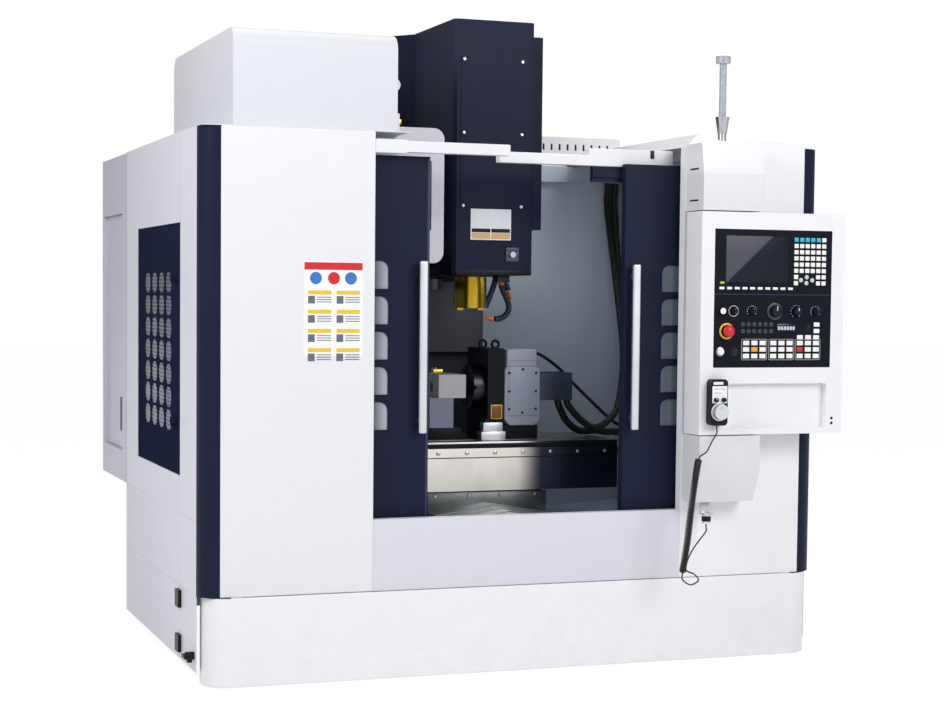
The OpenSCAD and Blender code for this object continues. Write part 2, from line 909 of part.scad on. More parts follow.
module pendant_arms() color(white) seat() {
  arm_profile([up_z0, up_z1], [[pend_y0, up_z1 - slope_up], [pend_y0 + slope_in, up_z1]]);
  translate([hinge_x, hinge_y, pend_z1 - hinge_l]) cylinder(h = up_z0 - pend_z1 + hinge_l, r = hinge_r);
  arm_profile([dn_z1, dn_z0], [[pend_y0, dn_z0 + slope_dn], [pend_y0 + slope_out, dn_z0]]);
  translate([hinge_x, hinge_y, dn_z1]) cylinder(h = washer_t, r = washer_r);
  translate([hinge_x, hinge_y, dn_z1]) cylinder(h = washer_t + hinge_l, r = hinge_r);
  slab([sock_x - sock_w / 2, sock_y + sock_in, dn_z0 - sock_h],
    [sock_x + sock_w / 2, sock_y + sock_in + sock_t, dn_z0]);
  slab([sock_x - sock_w / 2, sock_y - sock_out_y, dn_z0 - sock_h],
    [sock_x + sock_w / 2, sock_y + sock_in + sock_t, dn_z0 - sock_h + sock_t]);
  translate([sock_x, sock_y, plug_z]) cylinder(h = plug_l, r = plug_r);
}

module signal_base() color(steel) seat() {
  translate([lamp_x, lamp_y, lamp_z]) {
    cylinder(h = flange_t, r = flange_r);
    cylinder(h = pole_h, r = pole_r);
    translate([0, 0, pole_h]) cylinder(h = cup_h, r1 = cup_r0, r2 = cup_r1);
  }
}

module signal_lens() color(white) seat() {
  translate([lamp_x, lamp_y, lamp_z + pole_h + cup_h]) {
    cylinder(h = lamp_h, r = lamp_r);
    translate([0, 0, lamp_h]) cylinder(h = cap_h, r = cap_r);
  }
}

module cabinet() color(lilac) seat() {
  difference() {
    slab([xl, side_d, cab_z0], [cab_x1, side_d + cab_d, enc_h]);
    slab([xl + cd_wall, side_d + sheet, cab_z0 + sheet],
      [cab_x1 - sheet, side_d + cab_d - sheet, enc_h - sheet]);
    slab([xl - 1, cd_y0, cd_z0], [xl + cd_wall + 1, cd_y1 + sd_gap, cd_z1]);
  }
  pivot(xl + cd_in + piv_r, cd_py, cd_z0 - 1, pin_l);
  pivot(xl + cd_in + piv_r, cd_py, cd_z1 + 1 - pin_l, pin_l);
}

module cabinet_door() color(lilac) seat() {
  leaf(xl + cd_in, cd_y0 + cd_gap, cd_y1, cd_z0 + sd_gap, cd_z1 - sd_gap);
  slab([xl - lever_out + cd_in, cd_y0 + lever_y, cd_z0 + lever_z],
    [xl + cd_in + 1, cd_y0 + lever_y + lever_w, cd_z0 + lever_z + lever_h]);
}

// side outline of the magazine cover, rounded along its front and back top edges
module cover_plan(g) {
  translate([mag_y0 + g, -g]) square([mag_d - 2 * g, mag_h - mag_r + g]);
  translate([mag_y0 + mag_r, -g]) square([mag_d - 2 * mag_r, mag_h]);
  for (y = [mag_y0 + mag_r, mag_y1 - mag_r]) translate([y, mag_h - mag_r]) circle(mag_r - g);
}

module magazine_cover() color(white) seat() {
  translate([mag_x0, 0, enc_h]) rotate([90, 0, 90]) difference() {
    linear_extrude(mag_w) cover_plan(0);
    translate([0, 0, sheet]) linear_extrude(mag_w - 2 * sheet) cover_plan(sheet);
  }
  difference() {
    slab([xl, sheet, enc_h], [mag_x1, side_d, enc_h + sheet]);
    slab([mag_x0 + sheet, mag_y0 + sheet, enc_h - 1],
        [mag_x1 - sheet, mag_y1 - sheet, enc_h + sheet + 1]);
  }
  slab([in_l + sheet, mag_y0, arm_z], [mag_x1, mag_y0 + sheet, enc_h + 1]);
}

module magazine_shroud() color(white) seat() {
  difference() {
    union() {
      face_plate(mag_x1, shroud_y, shroud_z0, shroud_x1 - mag_x1, shroud_z1 - shroud_z0, sheet, shroud_r);
      slab([in_l + sheet, shroud_y, shroud_z0], [mag_x1 + shroud_r, shroud_y + sheet, enc_h]);
      slab([mag_x1, shroud_y, enc_h - 1], [mag_x1 + shroud_r, shroud_y + sheet, shroud_z1 - 1]);
    }
    slab([shroud_x1 - slot_in, shroud_y - 1, shroud_z0 + slot_end],
      [shroud_x1 - slot_in + slot_wide, shroud_y + sheet + 1, shroud_z1 - slot_end]);
  }
  slab([in_l + sheet, shroud_y + sheet / 2, shroud_z0 + sheet],
      [shroud_x1 - shroud_lip, shroud_y1, shroud_z0 + 2 * sheet]);
  slab([shroud_x1 - sheet, shroud_y + sheet / 2, shroud_z0 + shroud_r],
    [shroud_x1, shroud_y1, shroud_z1 - shroud_r]);
}

module magazine_drive() color(iron) seat() {
  slab([disc_x - drive_in - gear_box_w, col_y0 + drive_gap, drive_z0],
    [spin_x - col_hw, col_y0 + drive_gap + drive_d, drive_z]);
  slab([disc_x - drive_in - gear_box_w, ring_y - drive_back, drive_z0],
    [disc_x - drive_in, col_y0 + drive_gap + 1, drive_z]);
  rod_x([disc_x - drive_in - 1, ring_y, ring_z], drive_in + 1 + disc_t + pot_l, axle_r);
  slab([swap_x - link_w, spin_y - link_hd, drive_z0], [swap_x, col_y0 + drive_gap + 1, drive_z0 + link_h]);
  slab([swap_x - box_hd, spin_y - box_hd, shroud_z0 + 2 * sheet],
    [swap_x + box_out, spin_y + box_hd, drive_z0 + link_h]);
  translate([swap_x, spin_y, swap_z0 + swap_t])
      cylinder(h = shroud_z0 + 2 * sheet - swap_z0 - swap_t, r = swap_r + swap_step);
  translate([swap_x, spin_y, swap_z0]) cylinder(h = swap_t + 1, r = swap_r);
}

module tool_carousel() color(steel) seat() {
  difference() {
    union() {
      rod_x([disc_x, ring_y, ring_z], disc_t, pot_ring + rim_step);
      rod_x([disc_x, ring_y, ring_z], disc_t + pot_in, axle_r + hub_step);
      for (i = [0 : pot_n - 1])
        rod_x([disc_x + disc_t - 1, ring_y + pot_ring * cos(360 * i / pot_n),
          ring_z + pot_ring * sin(360 * i / pot_n)],
          pot_l + 1, pot_r);
    }
    rod_x([disc_x - 1, ring_y, ring_z], disc_t + 2 * pot_in, axle_r + slip);
    for (i = [0 : pot_n - 1])
      rod_x([disc_x + disc_t + pot_in, ring_y + pot_ring * cos(360 * i / pot_n),
        ring_z + pot_ring * sin(360 * i / pot_n)],
        pot_l, taper_r);
  }
}

module tool_arm() color(steel) seat() {
  difference() {
    union() {
      slab([swap_x - swap_w / 2, spin_y - swap_l, swap_z0],
          [swap_x + swap_w / 2, spin_y + swap_l, swap_z0 + swap_t]);
      for (s = [-1, 1]) translate([swap_x, spin_y + s * swap_l, swap_z0]) cylinder(h = swap_t, r = end_r);
    }
    translate([swap_x, spin_y, swap_z0 - 1]) cylinder(h = swap_t + 2, r = swap_r + slip);
    for (s = [-1, 1]) translate([swap_x, spin_y + s * swap_l, swap_z0 - 1]) cylinder(h = swap_t + 2,
        r = grip_r);
    for (s = [-1, 1])
      slab([swap_x + (s < 0 ? 0 : -jaw_w), spin_y + s * swap_l - jaw_hd, swap_z0 - 1],
        [swap_x + (s < 0 ? jaw_w : 0), spin_y + s * swap_l + jaw_hd, swap_z0 + swap_t + 1]);
  }
}

module air_unit() color(steel) seat() {
  x = mag_x1 + air_w / 2;
  y = air_y + air_d / 2;
  slab([mag_x1, air_y, air_z + air_low], [mag_x1 + air_w, air_y + air_d, air_z + air_low + air_h]);
  translate([x, y, air_z + air_low + air_h]) cylinder(h = bowl_h, r = bowl_r);
  rod_y([x, air_y - air_low, air_z + gauge_z], gauge_t, gauge_r);
  slab([mag_x1, air_y + stay_in, air_z + gauge_z - stay_h / 2],
    [x, air_y + air_d - stay_in, air_z + gauge_z + stay_h / 2]);
}

// oblong slot in the side door, longer along the door than it is high
module pill(y, z) {
  half = (pill_w - pill_h) / 2;
  for (k = [-half, half]) rod_x([xl - 1, y + k, z], sheet + 2, pill_h / 2);
  slab([xl - 1, y - half, z - pill_h / 2], [xl + sheet + 1, y + half, z + pill_h / 2]);
}

module side_door() color(navy) seat() {
  y0 = pill_y - pill_w;
  z0 = pill_z - pill_h;
  difference() {
    leaf(xl, sd_y0, sd_y1, sd_z0, sd_z1);
    slab([xl + sheet, sd_y0 + sheet, sd_z0 + sheet], [xl + sd_t + 1, sd_y1 - 2 * piv_r, sd_z1 - sheet]);
    for (i = [0 : pill_n - 1], j = [0 : pill_m - 1]) pill(pill_y + i * pill_dy, pill_z + j * pill_dz);
  }
  slab([xl + sheet - 0.5, y0, z0],
    [xl + sheet + filter_t, y0 + (pill_n - 1) * pill_dy + 2 * pill_w,
      z0 + (pill_m - 1) * pill_dz + 2 * pill_h]);
  for (z = [sd_z0 + latch_lo, sd_z1 - latch_hi]) rod_x([xl - latch_out, latch_y, z],
      latch_out + 1, latch_r);
}

module side_fittings() color(black) seat() {
  for (z = [sock_z_lo, sock_z_hi])
    slab([xl - sock_out, sock_fy, z], [xl, sock_fy + sock_size, z + sock_size]);
  difference() {
    union() {
      rod_x([xl - tap_l, tap_y, tap_z], tap_l, tap_r);
      translate([xl - tap_l / 2, tap_y, tap_z - spout_l]) cylinder(h = spout_l, r = spout_r);
    }
    rod_x([xl - tap_l - 1, tap_y, tap_z], 1 + lev_deep + lev_free, lev_pin + slip);
  }
}

module drain_lever() color(black) seat() {
  slab([xl - tap_l - lev_t, tap_y - lev_l / 2, tap_z - lev_w / 2],
    [xl - tap_l - play, tap_y + lev_l / 2, tap_z + lev_w / 2]);
  rod_x([xl - tap_l - lev_t, tap_y, tap_z], lev_t + lev_deep, lev_pin);
}

// roof shaped section of the Y way cover, one step of the telescope
module chevron(y0, y1, d) {
  translate([spin_x, y1, bed_z]) rotate([90, 0, 0]) linear_extrude(y1 - y0) difference() {
    polygon([[-sad_hw + d, 0], [-sad_hw + d, chev_lo - d], [0, chev_hi - d], [sad_hw - d, chev_lo - d],
      [sad_hw - d, 0]]);
    polygon([[-sad_hw + d + chev_wall, -1], [-sad_hw + d + chev_wall, chev_lo - d - chev_wall],
      [0, chev_hi - d - chev_wall], [sad_hw - d - chev_wall, chev_lo - d - chev_wall],
      [sad_hw - d - chev_wall, -1]]);
  }
}

module y_way_cover() color(steel) seat() {
  step = (sad_y0 - chev_y0) / chev_n;
  for (i = [0 : chev_n - 1])
    chevron(chev_y0 + i * step - (i > 0 ? 2 : 0), chev_y0 + (i + 1) * step,
      (chev_n - 1 - i) * chev_wall * 0.9);
}

module z_way_cover() color(steel) seat() {
  slab([spin_x - way_hw, way_y0, way_z0], [spin_x + way_hw, way_y0 + sheet, way_z1]);
  for (x = [spin_x - way_hw, spin_x + way_hw - sheet])
    slab([x, way_y0, way_z0], [x + sheet, col_y0, way_z1]);
}

// window outline with round upper corners and a straight sill
module arch(w, h, r) {
  square([w, h - r]);
  translate([r, 0]) square([w - 2 * r, h]);
  for (x = [r, w - r]) translate([x, h - r]) circle(r);
}

// a door with its windows cut, its inner edge at x1 and the window side given by s
module door(x0, x1, s) {
  edge = s > 0 ? x1 : x0;
  wx = s > 0 ? edge - win_in - win_w : edge + win_in;
  difference() {
    pan([x0, door_y, door_z0], [x1, door_z1], door_t);
    for (i = [0 : win_n - 1])
      translate([wx, door_y + sheet + 1, win_top - win_h - i * win_pitch]) rotate([90, 0, 0])
        linear_extrude(sheet + 2) arch(win_w, win_h, win_r);
  }
  for (k = [0, 1]) hanger(edge - s * (door_w - hang_in - k * hang_dx) - (s > 0 ? 0 : hang_l));
}

module hanger(x) {
  y0 = door_y + sheet / 2;
  difference() {
    slab([x, y0, ridge_z + ridge_h / 2 - hang_h / 2],
        [x + hang_l, track_y - play, ridge_z + ridge_h / 2 + hang_h / 2]);
    slab([x - 1, track_y - ridge_t - play, ridge_z - play],
        [x + hang_l + 1, track_y, ridge_z + ridge_h + play]);
  }
}

module window(x0) {
  z1 = win_top + win_lap;
  z0 = win_top - win_h - (win_n - 1) * win_pitch - win_lap;
  slab([x0 - win_lap, door_y + sheet, z0], [x0 + win_w + win_lap, door_y + sheet + pane_t, z1]);
}

module handle(x0) {
  slab([x0, door_y - grip_gap - grip_t, grip_z], [x0 + grip_w, door_y - grip_gap, grip_z + grip_l]);
  for (z = [grip_z + post_in, grip_z + grip_l - post_in - post_h])
    slab([x0 + (grip_w - post_w) / 2, door_y - grip_gap - 1, z],
      [x0 + (grip_w + post_w) / 2, door_y, z + post_h]);
}

module left_door() color(navy) seat() door(dl0, dl1, 1);

module left_window() color(glass) seat() window(dl1 - win_in - win_w);

module left_handle() color(steel) seat() handle(dl1 - grip_in - grip_w);

module right_door() color(navy) seat() door(dr0, dr1, -1);

module right_window() color(glass) seat() window(dr0 + win_in);

module right_handle() color(steel) seat() handle(dr0 + grip_in);

module saddle() color(iron) seat() {
  difference() {
    union() {
      slab([spin_x - sad_hw, sad_y0, sad_z0], [spin_x + sad_hw, sad_y1, sad_z1]);
      for (s = [-1, 1])
        slab([spin_x + s * y_rail_dx - run_w / 2, sad_y0, run_z],
            [spin_x + s * y_rail_dx + run_w / 2, sad_y1, sad_z0 + 1]);
      slab([beam_x0, spin_y - beam_hd, sad_z1 - 1], [beam_x1, spin_y + beam_hd, beam_z1]);
      for (s = [-1, 1])
        slab([beam_x0, spin_y + s * x_rail_dy - x_rail_w / 2, beam_z1 - 1],
          [beam_x1, spin_y + s * x_rail_dy + x_rail_w / 2, beam_z1 + x_rail_h]);
    }
    for (s = [-1, 1])
      slab([spin_x + s * y_rail_dx - y_rail_w / 2 - fit, sad_y0 - 1, run_z - 1],
        [spin_x + s * y_rail_dx + y_rail_w / 2 + fit, sad_y1 + 1, bed_z + y_rail_h + fit]);
  }
}

module table() color(steel) seat() {
  difference() {
    union() {
      slab([tab_x0, tab_y0, table_z - tab_t], [tab_x1, tab_y1, table_z]);
      for (x = [-shoe_dx, shoe_dx], s = [-1, 1])
        slab([tab_x + x - shoe_l / 2, spin_y + s * x_rail_dy - shoe_w / 2, beam_z1 + shoe_gap],
          [tab_x + x + shoe_l / 2, spin_y + s * x_rail_dy + shoe_w / 2, table_z - tab_t + 1]);
    }
    for (s = [-1, 1])
      slab([tab_x0 - 1, spin_y + s * x_rail_dy - x_rail_w / 2 - fit, beam_z1],
        [tab_x1 + 1, spin_y + s * x_rail_dy + x_rail_w / 2 + fit, beam_z1 + x_rail_h + fit]);
    for (i = [0 : slot_n - 1]) {
      y = spin_y + (i - (slot_n - 1) / 2) * slot_pitch;
      slab([tab_x0 - 1, y - slot_w / 2, table_z - slot_deep], [tab_x1 + 1, y + slot_w / 2, table_z + 1]);
      slab([tab_x0 - 1, y - slot_under / 2, table_z - slot_deep],
        [tab_x1 + 1, y + slot_under / 2, table_z - slot_neck]);
    }
  }
}

module table_skirt() color(steel) seat() {
  slab([tab_x0, tab_y0 - sheet, skirt_z0], [tab_x1, tab_y0, skirt_z1]);
  slab([tab_x0, tab_y0 - sheet - strip_t, skirt_z1 - strip_h], [tab_x1, tab_y0 - sheet + 1, skirt_z1]);
  for (i = [0 : bolt_n - 1])
    rod_y([tab_x0 + (i + 0.5) * table_l / bolt_n, tab_y0 - sheet - strip_t - bolt_t, skirt_z1 - strip_h / 2],
      bolt_t + 1, bolt_r);
}

module eye(x, y, z) {
  translate([x, y, z + eye_r]) rotate([90, 0, 0]) rotate_extrude() translate([eye_r, 0]) circle(eye_t);
}

module rotary_body() color(black) seat() {
  difference() {
    union() {
      slab([core_x0, gear_y + core_in, table_z], [base_x1, core_y1, gear_z0]);
      slab([core_x0, gear_y + core_in, gear_z0 - 1], [gear_x0, core_y1, core_z1]);
    }
    rod_x([core_x0 - 1, rot_y, rot_z], hub_l + 2, hub_r + slip);
  }
  slab([gear_x0 + gear_w, gear_y + box_in, box_z0],
    [gear_x0 + gear_w + box_w, gear_y + box_in + box_d, box_z1]);
  eye(core_x0 + eye_in, rot_y, core_z1);
  eye(gear_x0 - eye_in, rot_y - eye_dy, core_z1);
}

// head of a screw on the front of the gear case
module screw_cap(x, z) {
  rod_y([x, gear_y - cap_out, z], cap_out + 1, screw_r);
}

module rotary_gearcase() color(steel) seat() {
  x1 = gear_x0 + gear_w;
  translate([0, gear_y + gear_d, 0]) rotate([90, 0, 0]) linear_extrude(gear_d)
    polygon([[gear_x0, gear_z0 + gear_ch], [gear_x0 + gear_ch, gear_z0], [x1 - gear_ch, gear_z0],
        [x1, gear_z0 + gear_ch],
      [x1, gear_z1], [x1 - neck_r, gear_z1 + neck_ch], [x1 - neck_r, neck_z1], [gear_x0 + neck_l, neck_z1],
      [gear_x0 + neck_l, gear_z1 + neck_ch],
      [gear_x0, gear_z1]]);
  for (x = [gear_x0 + cap_in, x1 - cap_in], z = cap_zs) screw_cap(x, gear_z0 + z);
  for (z = cap_mid) screw_cap(gear_x0 + gear_w / 2, gear_z0 + z);
}

module rotary_faceplate() color(steel) seat() {
  difference() {
    rod_x([core_x0 - face_t - play, rot_y, rot_z], face_t, face_r);
    for (a = [0, 90])
      translate([core_x0 - face_t - play - 1, rot_y, rot_z]) rotate([a, 0, 0])
        translate([0, -face_slot / 2, -face_r - 1]) cube([face_cut, face_slot, 2 * face_r + 2]);
  }
  rod_x([core_x0 - play - 1, rot_y, rot_z], hub_l, hub_r);
}

module tailstock() color(steel) seat() {
  difference() {
    union() {
      slab([tail_x0 - tail_lip, tail_y, table_z],
        [quill_x0 + quill_w - tail_cut, tail_y + tail_d, table_z + tail_base]);
      slab([tail_x0, tail_y, table_z + tail_base - 1], [tail_x0 + tail_w, tail_y + tail_d, tail_mid]);
      slab([quill_x0, tail_y + tail_in, tail_mid - 1],
        [quill_x0 + quill_w, tail_y + tail_d - tail_in, tail_top]);
    }
    rod_x([quill_x0 - 1, rot_y, rot_z], quill_w + 2, quill_r + slip);
  }
  rod_x([quill_x0 - tip_len, tail_y + brass_y, tail_top + brass_r - 1], brass_l, brass_r);
}

module tailstock_quill() color(steel) seat() {
  rod_x([quill_x0 + tail_in, rot_y, rot_z], quill_w - tail_in + quill_out - tip_len, quill_r);
  translate([quill_x0 + quill_w + quill_out - tip_len, rot_y, rot_z]) rotate([0, 90, 0])
    cylinder(h = tip_len, r1 = quill_r, r2 = tip_end);
}

module head_plan(g) {
  polygon([[hx0 + g, hy0 + bevel + g / 2], [hx0 + bevel + g / 2, hy0 + g], [hx1 - bevel - g / 2, hy0 + g],
    [hx1 - g, hy0 + bevel + g / 2], [hx1 - g, hy_side], [hx1 + flare - g, hy_flare],
      [hx1 + flare - g, hy_back + g],
    [hx0 - flare + g, hy_back + g], [hx0 - flare + g, hy_flare], [hx0 + g, hy_side]]);
}

module head_cover() color(navy) seat() {
  difference() {
    union() {
      translate([0, 0, head_z0]) linear_extrude(head_h) head_plan(0);
      slab([hx1 - sheet, side_box_y0, side_box_z0], [hx1 + side_box_w, side_box_y1, head_z1 - sheet]);
    }
    translate([0, 0, head_z0 - 1]) linear_extrude(head_h + 1 - sheet) head_plan(sheet);
    rod_y([plate_x, hy0 - plate_t - 1, plate_z], plate_t + sheet + 2, press_r + press_fit);
  }
  slab([spin_x - cover_w / 2, hy0 - cover_t, cover_z0], [spin_x + cover_w / 2, hy0 + 1, cover_z1]);
  for (x = [-1, 1], z = [cover_z0 + bolt_z, (cover_z0 + cover_z1) / 2, cover_z1 - bolt_z])
    rod_y([spin_x + x * (cover_w / 2 - bolt_in), hy0 - cover_t - bolt_out, z], bolt_out + 1, head_bolt_r);
  difference() {
    slab([plate_x - plate_w / 2, hy0 - plate_t, plate_z - plate_w / 2],
      [plate_x + plate_w / 2, hy0 + 1, plate_z + plate_w / 2]);
    rod_y([plate_x, hy0 - plate_t - 1, plate_z], plate_t + sheet + 2, press_r + press_fit);
  }
}

module head_casting() color(iron) seat() {
  difference() {
    union() {
      slab([hx0 + sheet, hy0 + bevel + 4, head_z0 + sheet],
          [hx1 - sheet, hy_side - seal_in, head_z0 + sheet + lip_t]);
      slab([spin_x - cast_x, cast_y0, head_z0 + sheet], [spin_x + cast_x, cast_y1, cast_z1]);
      slab([spin_x - z_rail_dx - run_hw, cast_y1 - 1, run_z0],
        [spin_x + z_rail_dx + run_hw, run_y + run_t, run_z1]);
      for (s = [-1, 1])
        slab([spin_x + s * z_rail_dx - run_hw, run_y, run_z0],
          [spin_x + s * z_rail_dx + run_hw, col_y0 - sheet, run_z1]);
      translate([spin_x, spin_y, head_z0 + sheet - ring_t]) cylinder(h = ring_t + 1, r = ring_r);
      translate([spin_x, spin_y, cast_z1 - 1]) cylinder(h = drive_z1 - cast_z1, r = drive_r);
    }
    translate([spin_x, spin_y, head_z0 - shaft_free])
      cylinder(h = shaft_z1 - head_z0 + 2 * shaft_free, r = shaft_r + slip);
    for (s = [-1, 1])
      slab([spin_x + s * z_rail_dx - z_rail_w / 2 - fit, col_y0 - z_rail_t - fit, run_z0 - 1],
        [spin_x + s * z_rail_dx + z_rail_w / 2 + fit, col_y0, run_z1 + 1]);
  }
}

module spindle() color(brass) seat() {
  difference() {
    union() {
      translate([spin_x, spin_y, nose_z]) cylinder(h = head_z0 - nose_gap - nose_z, r = nose_r);
      translate([spin_x, spin_y, nose_z + 1]) cylinder(h = shaft_z1 - nose_z, r = shaft_r);
      for (s = [-1, 1])
        slab([spin_x + s * dog_x - dog_hw, spin_y - key_w / 2, nose_z - key_h],
          [spin_x + s * dog_x + dog_hw, spin_y + key_w / 2, nose_z + 1]);
    }
    translate([spin_x, spin_y, nose_z - 1]) cylinder(h = taper_l + 1, r = taper_r);
  }
}

module coolant_nozzles() color(navy) seat() {
  z0 = head_z0 + sheet - noz_h;
  slab([noz_x, noz_y, z0], [noz_x + noz_w, noz_y + noz_l, head_z0 + sheet]);
  translate([hose_x, hose_y, hose_z + hose_bend]) cylinder(h = z0 - hose_z - hose_bend + 1, r = hose_r);
  translate([hose_x - hose_bend, hose_y, hose_z + hose_bend]) rotate([-90, 0, 0])
    rotate_extrude(angle = 90) translate([hose_bend, 0]) circle(hose_r);
  rod_x([hose_x - hose_bend - hose_end, hose_y, hose_z], hose_end + 1, hose_r);
  translate([hose_x - hose_bend - hose_end + 1, hose_y, hose_z]) rotate([0, -90, 0])
      cylinder(h = tip_l, r1 = hose_r, r2 = tip_r);
  translate([noz_x + noz_w - jet_in, jet_y, jet_z]) cylinder(h = z0 - jet_z + 1, r = hose_r);
  translate([noz_x + noz_w - jet_in, jet_y, jet_z + 1]) rotate([180, 0, 0])
      cylinder(h = tip_l, r1 = hose_r, r2 = tip_r);
}

module unclamp_button() color(steel) seat() {
  rod_y([plate_x, hy0 - plate_t - press_out, plate_z], plate_t + press_out + press_in, press_r);
}

module control_holes(deep) {
  for (p = [[stop_x, stop_z, stop_stem + press_fit], [start_x, start_z, start_r + press_fit],
      [mode_x, knob_z, stem_r + slip], [feed_x, knob_z, stem_r + slip]])
    rod_y([p[0], pend_y0 - 5, p[1]], panel_in + deep, p[2]);
}

module pendant_case() color(white) seat() {
  difference() {
    slab([pend_x0, pend_y0, pend_z0], [pend_x1, pend_y1, pend_z1]);
    slab([panel_x, pend_y0 - 1, panel_z0], [panel_x + panel_w, pend_y0 + panel_in, panel_z0 + panel_h]);
    face_plate(tray_x, pend_y0 - 1, tray_z0, tray_w, tray_h, tray_in + 1, tray_r);
    control_holes(stem_deep + stem_free);
    for (z = [pend_z0 - 1, pend_z1 - hinge_l - 1])
      translate([hinge_x, hinge_y, z]) cylinder(h = hinge_l + 2, r = hinge_r + slip);
  }
}

module control_panel() color(black) seat() {
  y1 = pend_y0 + panel_in;
  difference() {
    union() {
      slab([panel_x, y1 - panel_t, panel_z0], [panel_x + panel_w, y1, panel_z0 + panel_h]);
      for (x = dial_xs) rod_y([panel_x + x, y1 - panel_t - dial_out, knob_z], dial_out + 1, dial_r);
    }
    slab([screen_x, y1 - panel_t - 1, screen_z],
        [screen_x + screen_w, y1 - panel_t + screen_in, screen_z + screen_h]);
    control_holes(stem_deep + stem_free);
  }
}

module estop() color(red) seat() {
  y1 = pend_y0 + panel_in - panel_t - stop_lift;
  rod_y([stop_x, y1 - stop_out, stop_z], stop_out, stop_r);
  rod_y([stop_x, y1 - 1, stop_z], stop_lift + stem_deep, stop_stem);
}

module cycle_start() color(white) seat() {
  rod_y([start_x, pend_y0 - press_top, start_z], press_top + stem_deep, start_r);
}

module knob(x, z, r) {
  y1 = pend_y0 + panel_in - panel_t - play;
  rod_y([x, y1 - knob_t, z], knob_t, r);
  rod_y([x, y1 - 1, z], stem_deep, stem_r);
}

module mode_knob() color(black) seat() {
  knob(mode_x, knob_z, mode_r);
}

module feed_knob() color(black) seat() {
  knob(feed_x, knob_z, feed_r);
}

module mpg_body() color(black) seat() {
  y0 = pend_y0 - mpg_t;
  difference() {
    face_plate(mpg_x, y0, mpg_z0, mpg_w, mpg_h, mpg_t, mpg_r);
    rod_y([wheel_x, y0 - 1, wheel_z], mpg_deep, stem_r + slip);
    rod_y([axis_x, y0 - 1, sel_z], mpg_deep, sel_stem + slip);
  }
  rod_y([rate_x, y0 - sel_t, sel_z], sel_t + 1, sel_r);
}

module mpg_wheel() color(steel) seat() {
  y0 = pend_y0 - mpg_t;
  rod_y([wheel_x, y0 - wheel_t, wheel_z], wheel_t - play, wheel_r);
  rod_y([wheel_x, y0 - 1, wheel_z], mpg_deep - 2, stem_r);
}

module mpg_axis_knob() color(black) seat() {
  y0 = pend_y0 - mpg_t;
  rod_y([axis_x, y0 - sel_t, sel_z], sel_t - play, sel_r);
  rod_y([axis_x, y0 - 1, sel_z], mpg_deep - 2, sel_stem);
}

module mpg_cord() color(black) seat() {
  k = 4;
  route = concat(cord_top, cord_coil, cord_low, cord_end);
  first = len(cord_top) * k;
  last = first + (len(cord_coil) - 1) * k;
  q = smooth(route, k);
  cord(q, [for (i = [0 : len(q) - 1]) i >= first && i <= last ? coil_r : lead_r], 8);
}

module conduit_a() color(black) seat() {
  q = smooth(pipe_a, 4);
  cord(q, [for (p = q) pipe_r], 10);
}

module conduit_b() color(black) seat() {
  q = smooth(pipe_b, 4);
  cord(q, [for (p = q) pipe_r], 10);
}

base_casting();
column_casting();
plinth();
left_front_panel();
right_front_panel();
lower_front_panel();
corner_trims();
left_side_panel();
right_side_panel();
inner_left_wall();
inner_right_wall();
back_wall();
header_rails();
pendant_arms();
signal_base();
signal_lens();
cabinet();
cabinet_door();
magazine_cover();
magazine_shroud();
magazine_drive();
tool_carousel();
tool_arm();
air_unit();
side_door();
side_fittings();
drain_lever();
y_way_cover();
z_way_cover();
left_door();
left_window();
left_handle();
right_door();
right_window();
right_handle();
saddle();
table();
table_skirt();
rotary_body();
rotary_gearcase();
rotary_faceplate();
tailstock();
tailstock_quill();
head_cover();
head_casting();
spindle();
coolant_nozzles();
unclamp_button();
pendant_case();
control_panel();
estop();
cycle_start();
mode_knob();
feed_knob();
mpg_body();
mpg_wheel();
mpg_axis_knob();
mpg_cord();
conduit_a();
conduit_b();
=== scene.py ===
import math
import bmesh
import bpy
from mathutils import Matrix, Vector


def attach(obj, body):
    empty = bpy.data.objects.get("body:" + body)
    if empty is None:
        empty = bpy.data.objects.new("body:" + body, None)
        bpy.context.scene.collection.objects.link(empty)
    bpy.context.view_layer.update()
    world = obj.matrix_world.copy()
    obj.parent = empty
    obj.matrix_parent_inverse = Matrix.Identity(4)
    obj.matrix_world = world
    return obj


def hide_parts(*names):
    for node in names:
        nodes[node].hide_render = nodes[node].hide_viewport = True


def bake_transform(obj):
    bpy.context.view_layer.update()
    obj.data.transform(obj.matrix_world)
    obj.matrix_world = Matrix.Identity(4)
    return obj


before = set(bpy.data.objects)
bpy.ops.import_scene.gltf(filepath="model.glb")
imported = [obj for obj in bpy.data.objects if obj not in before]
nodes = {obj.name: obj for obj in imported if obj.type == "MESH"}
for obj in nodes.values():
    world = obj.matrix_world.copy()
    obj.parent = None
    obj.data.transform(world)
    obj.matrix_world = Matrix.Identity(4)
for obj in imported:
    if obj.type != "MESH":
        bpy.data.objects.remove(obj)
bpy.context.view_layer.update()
scene = bpy.context.scene
scene.view_settings.view_transform = "Standard"
mm = 0.001  # metres
frontMiddle = Vector((0.0065, 0.9105, 0.0))  # from the middle of the front panels to the scene's origin
print("frame loaded,", len(nodes), "nodes")


def at(x, y, z):  # millimetres from the middle of the front panels
    return Vector((x, y, z)) * mm - frontMiddle


def hexColour(text):  # sRGB hex to linear
    parts = [int(text[i:i + 2], 16) / 255 for i in (1, 3, 5)]
    return tuple(c / 12.92 if c <= 0.04045 else ((c + 0.055) / 1.055) ** 2.4 for c in parts) + (1.0,)


def join(tree, node, links):  # each source is a socket, or a node whose first output in use counts
    for key, source in links.items():
        if hasattr(source, "outputs"):
            source = next(o for o in source.outputs if o.enabled)
        tree.links.new(source, node.inputs[key])


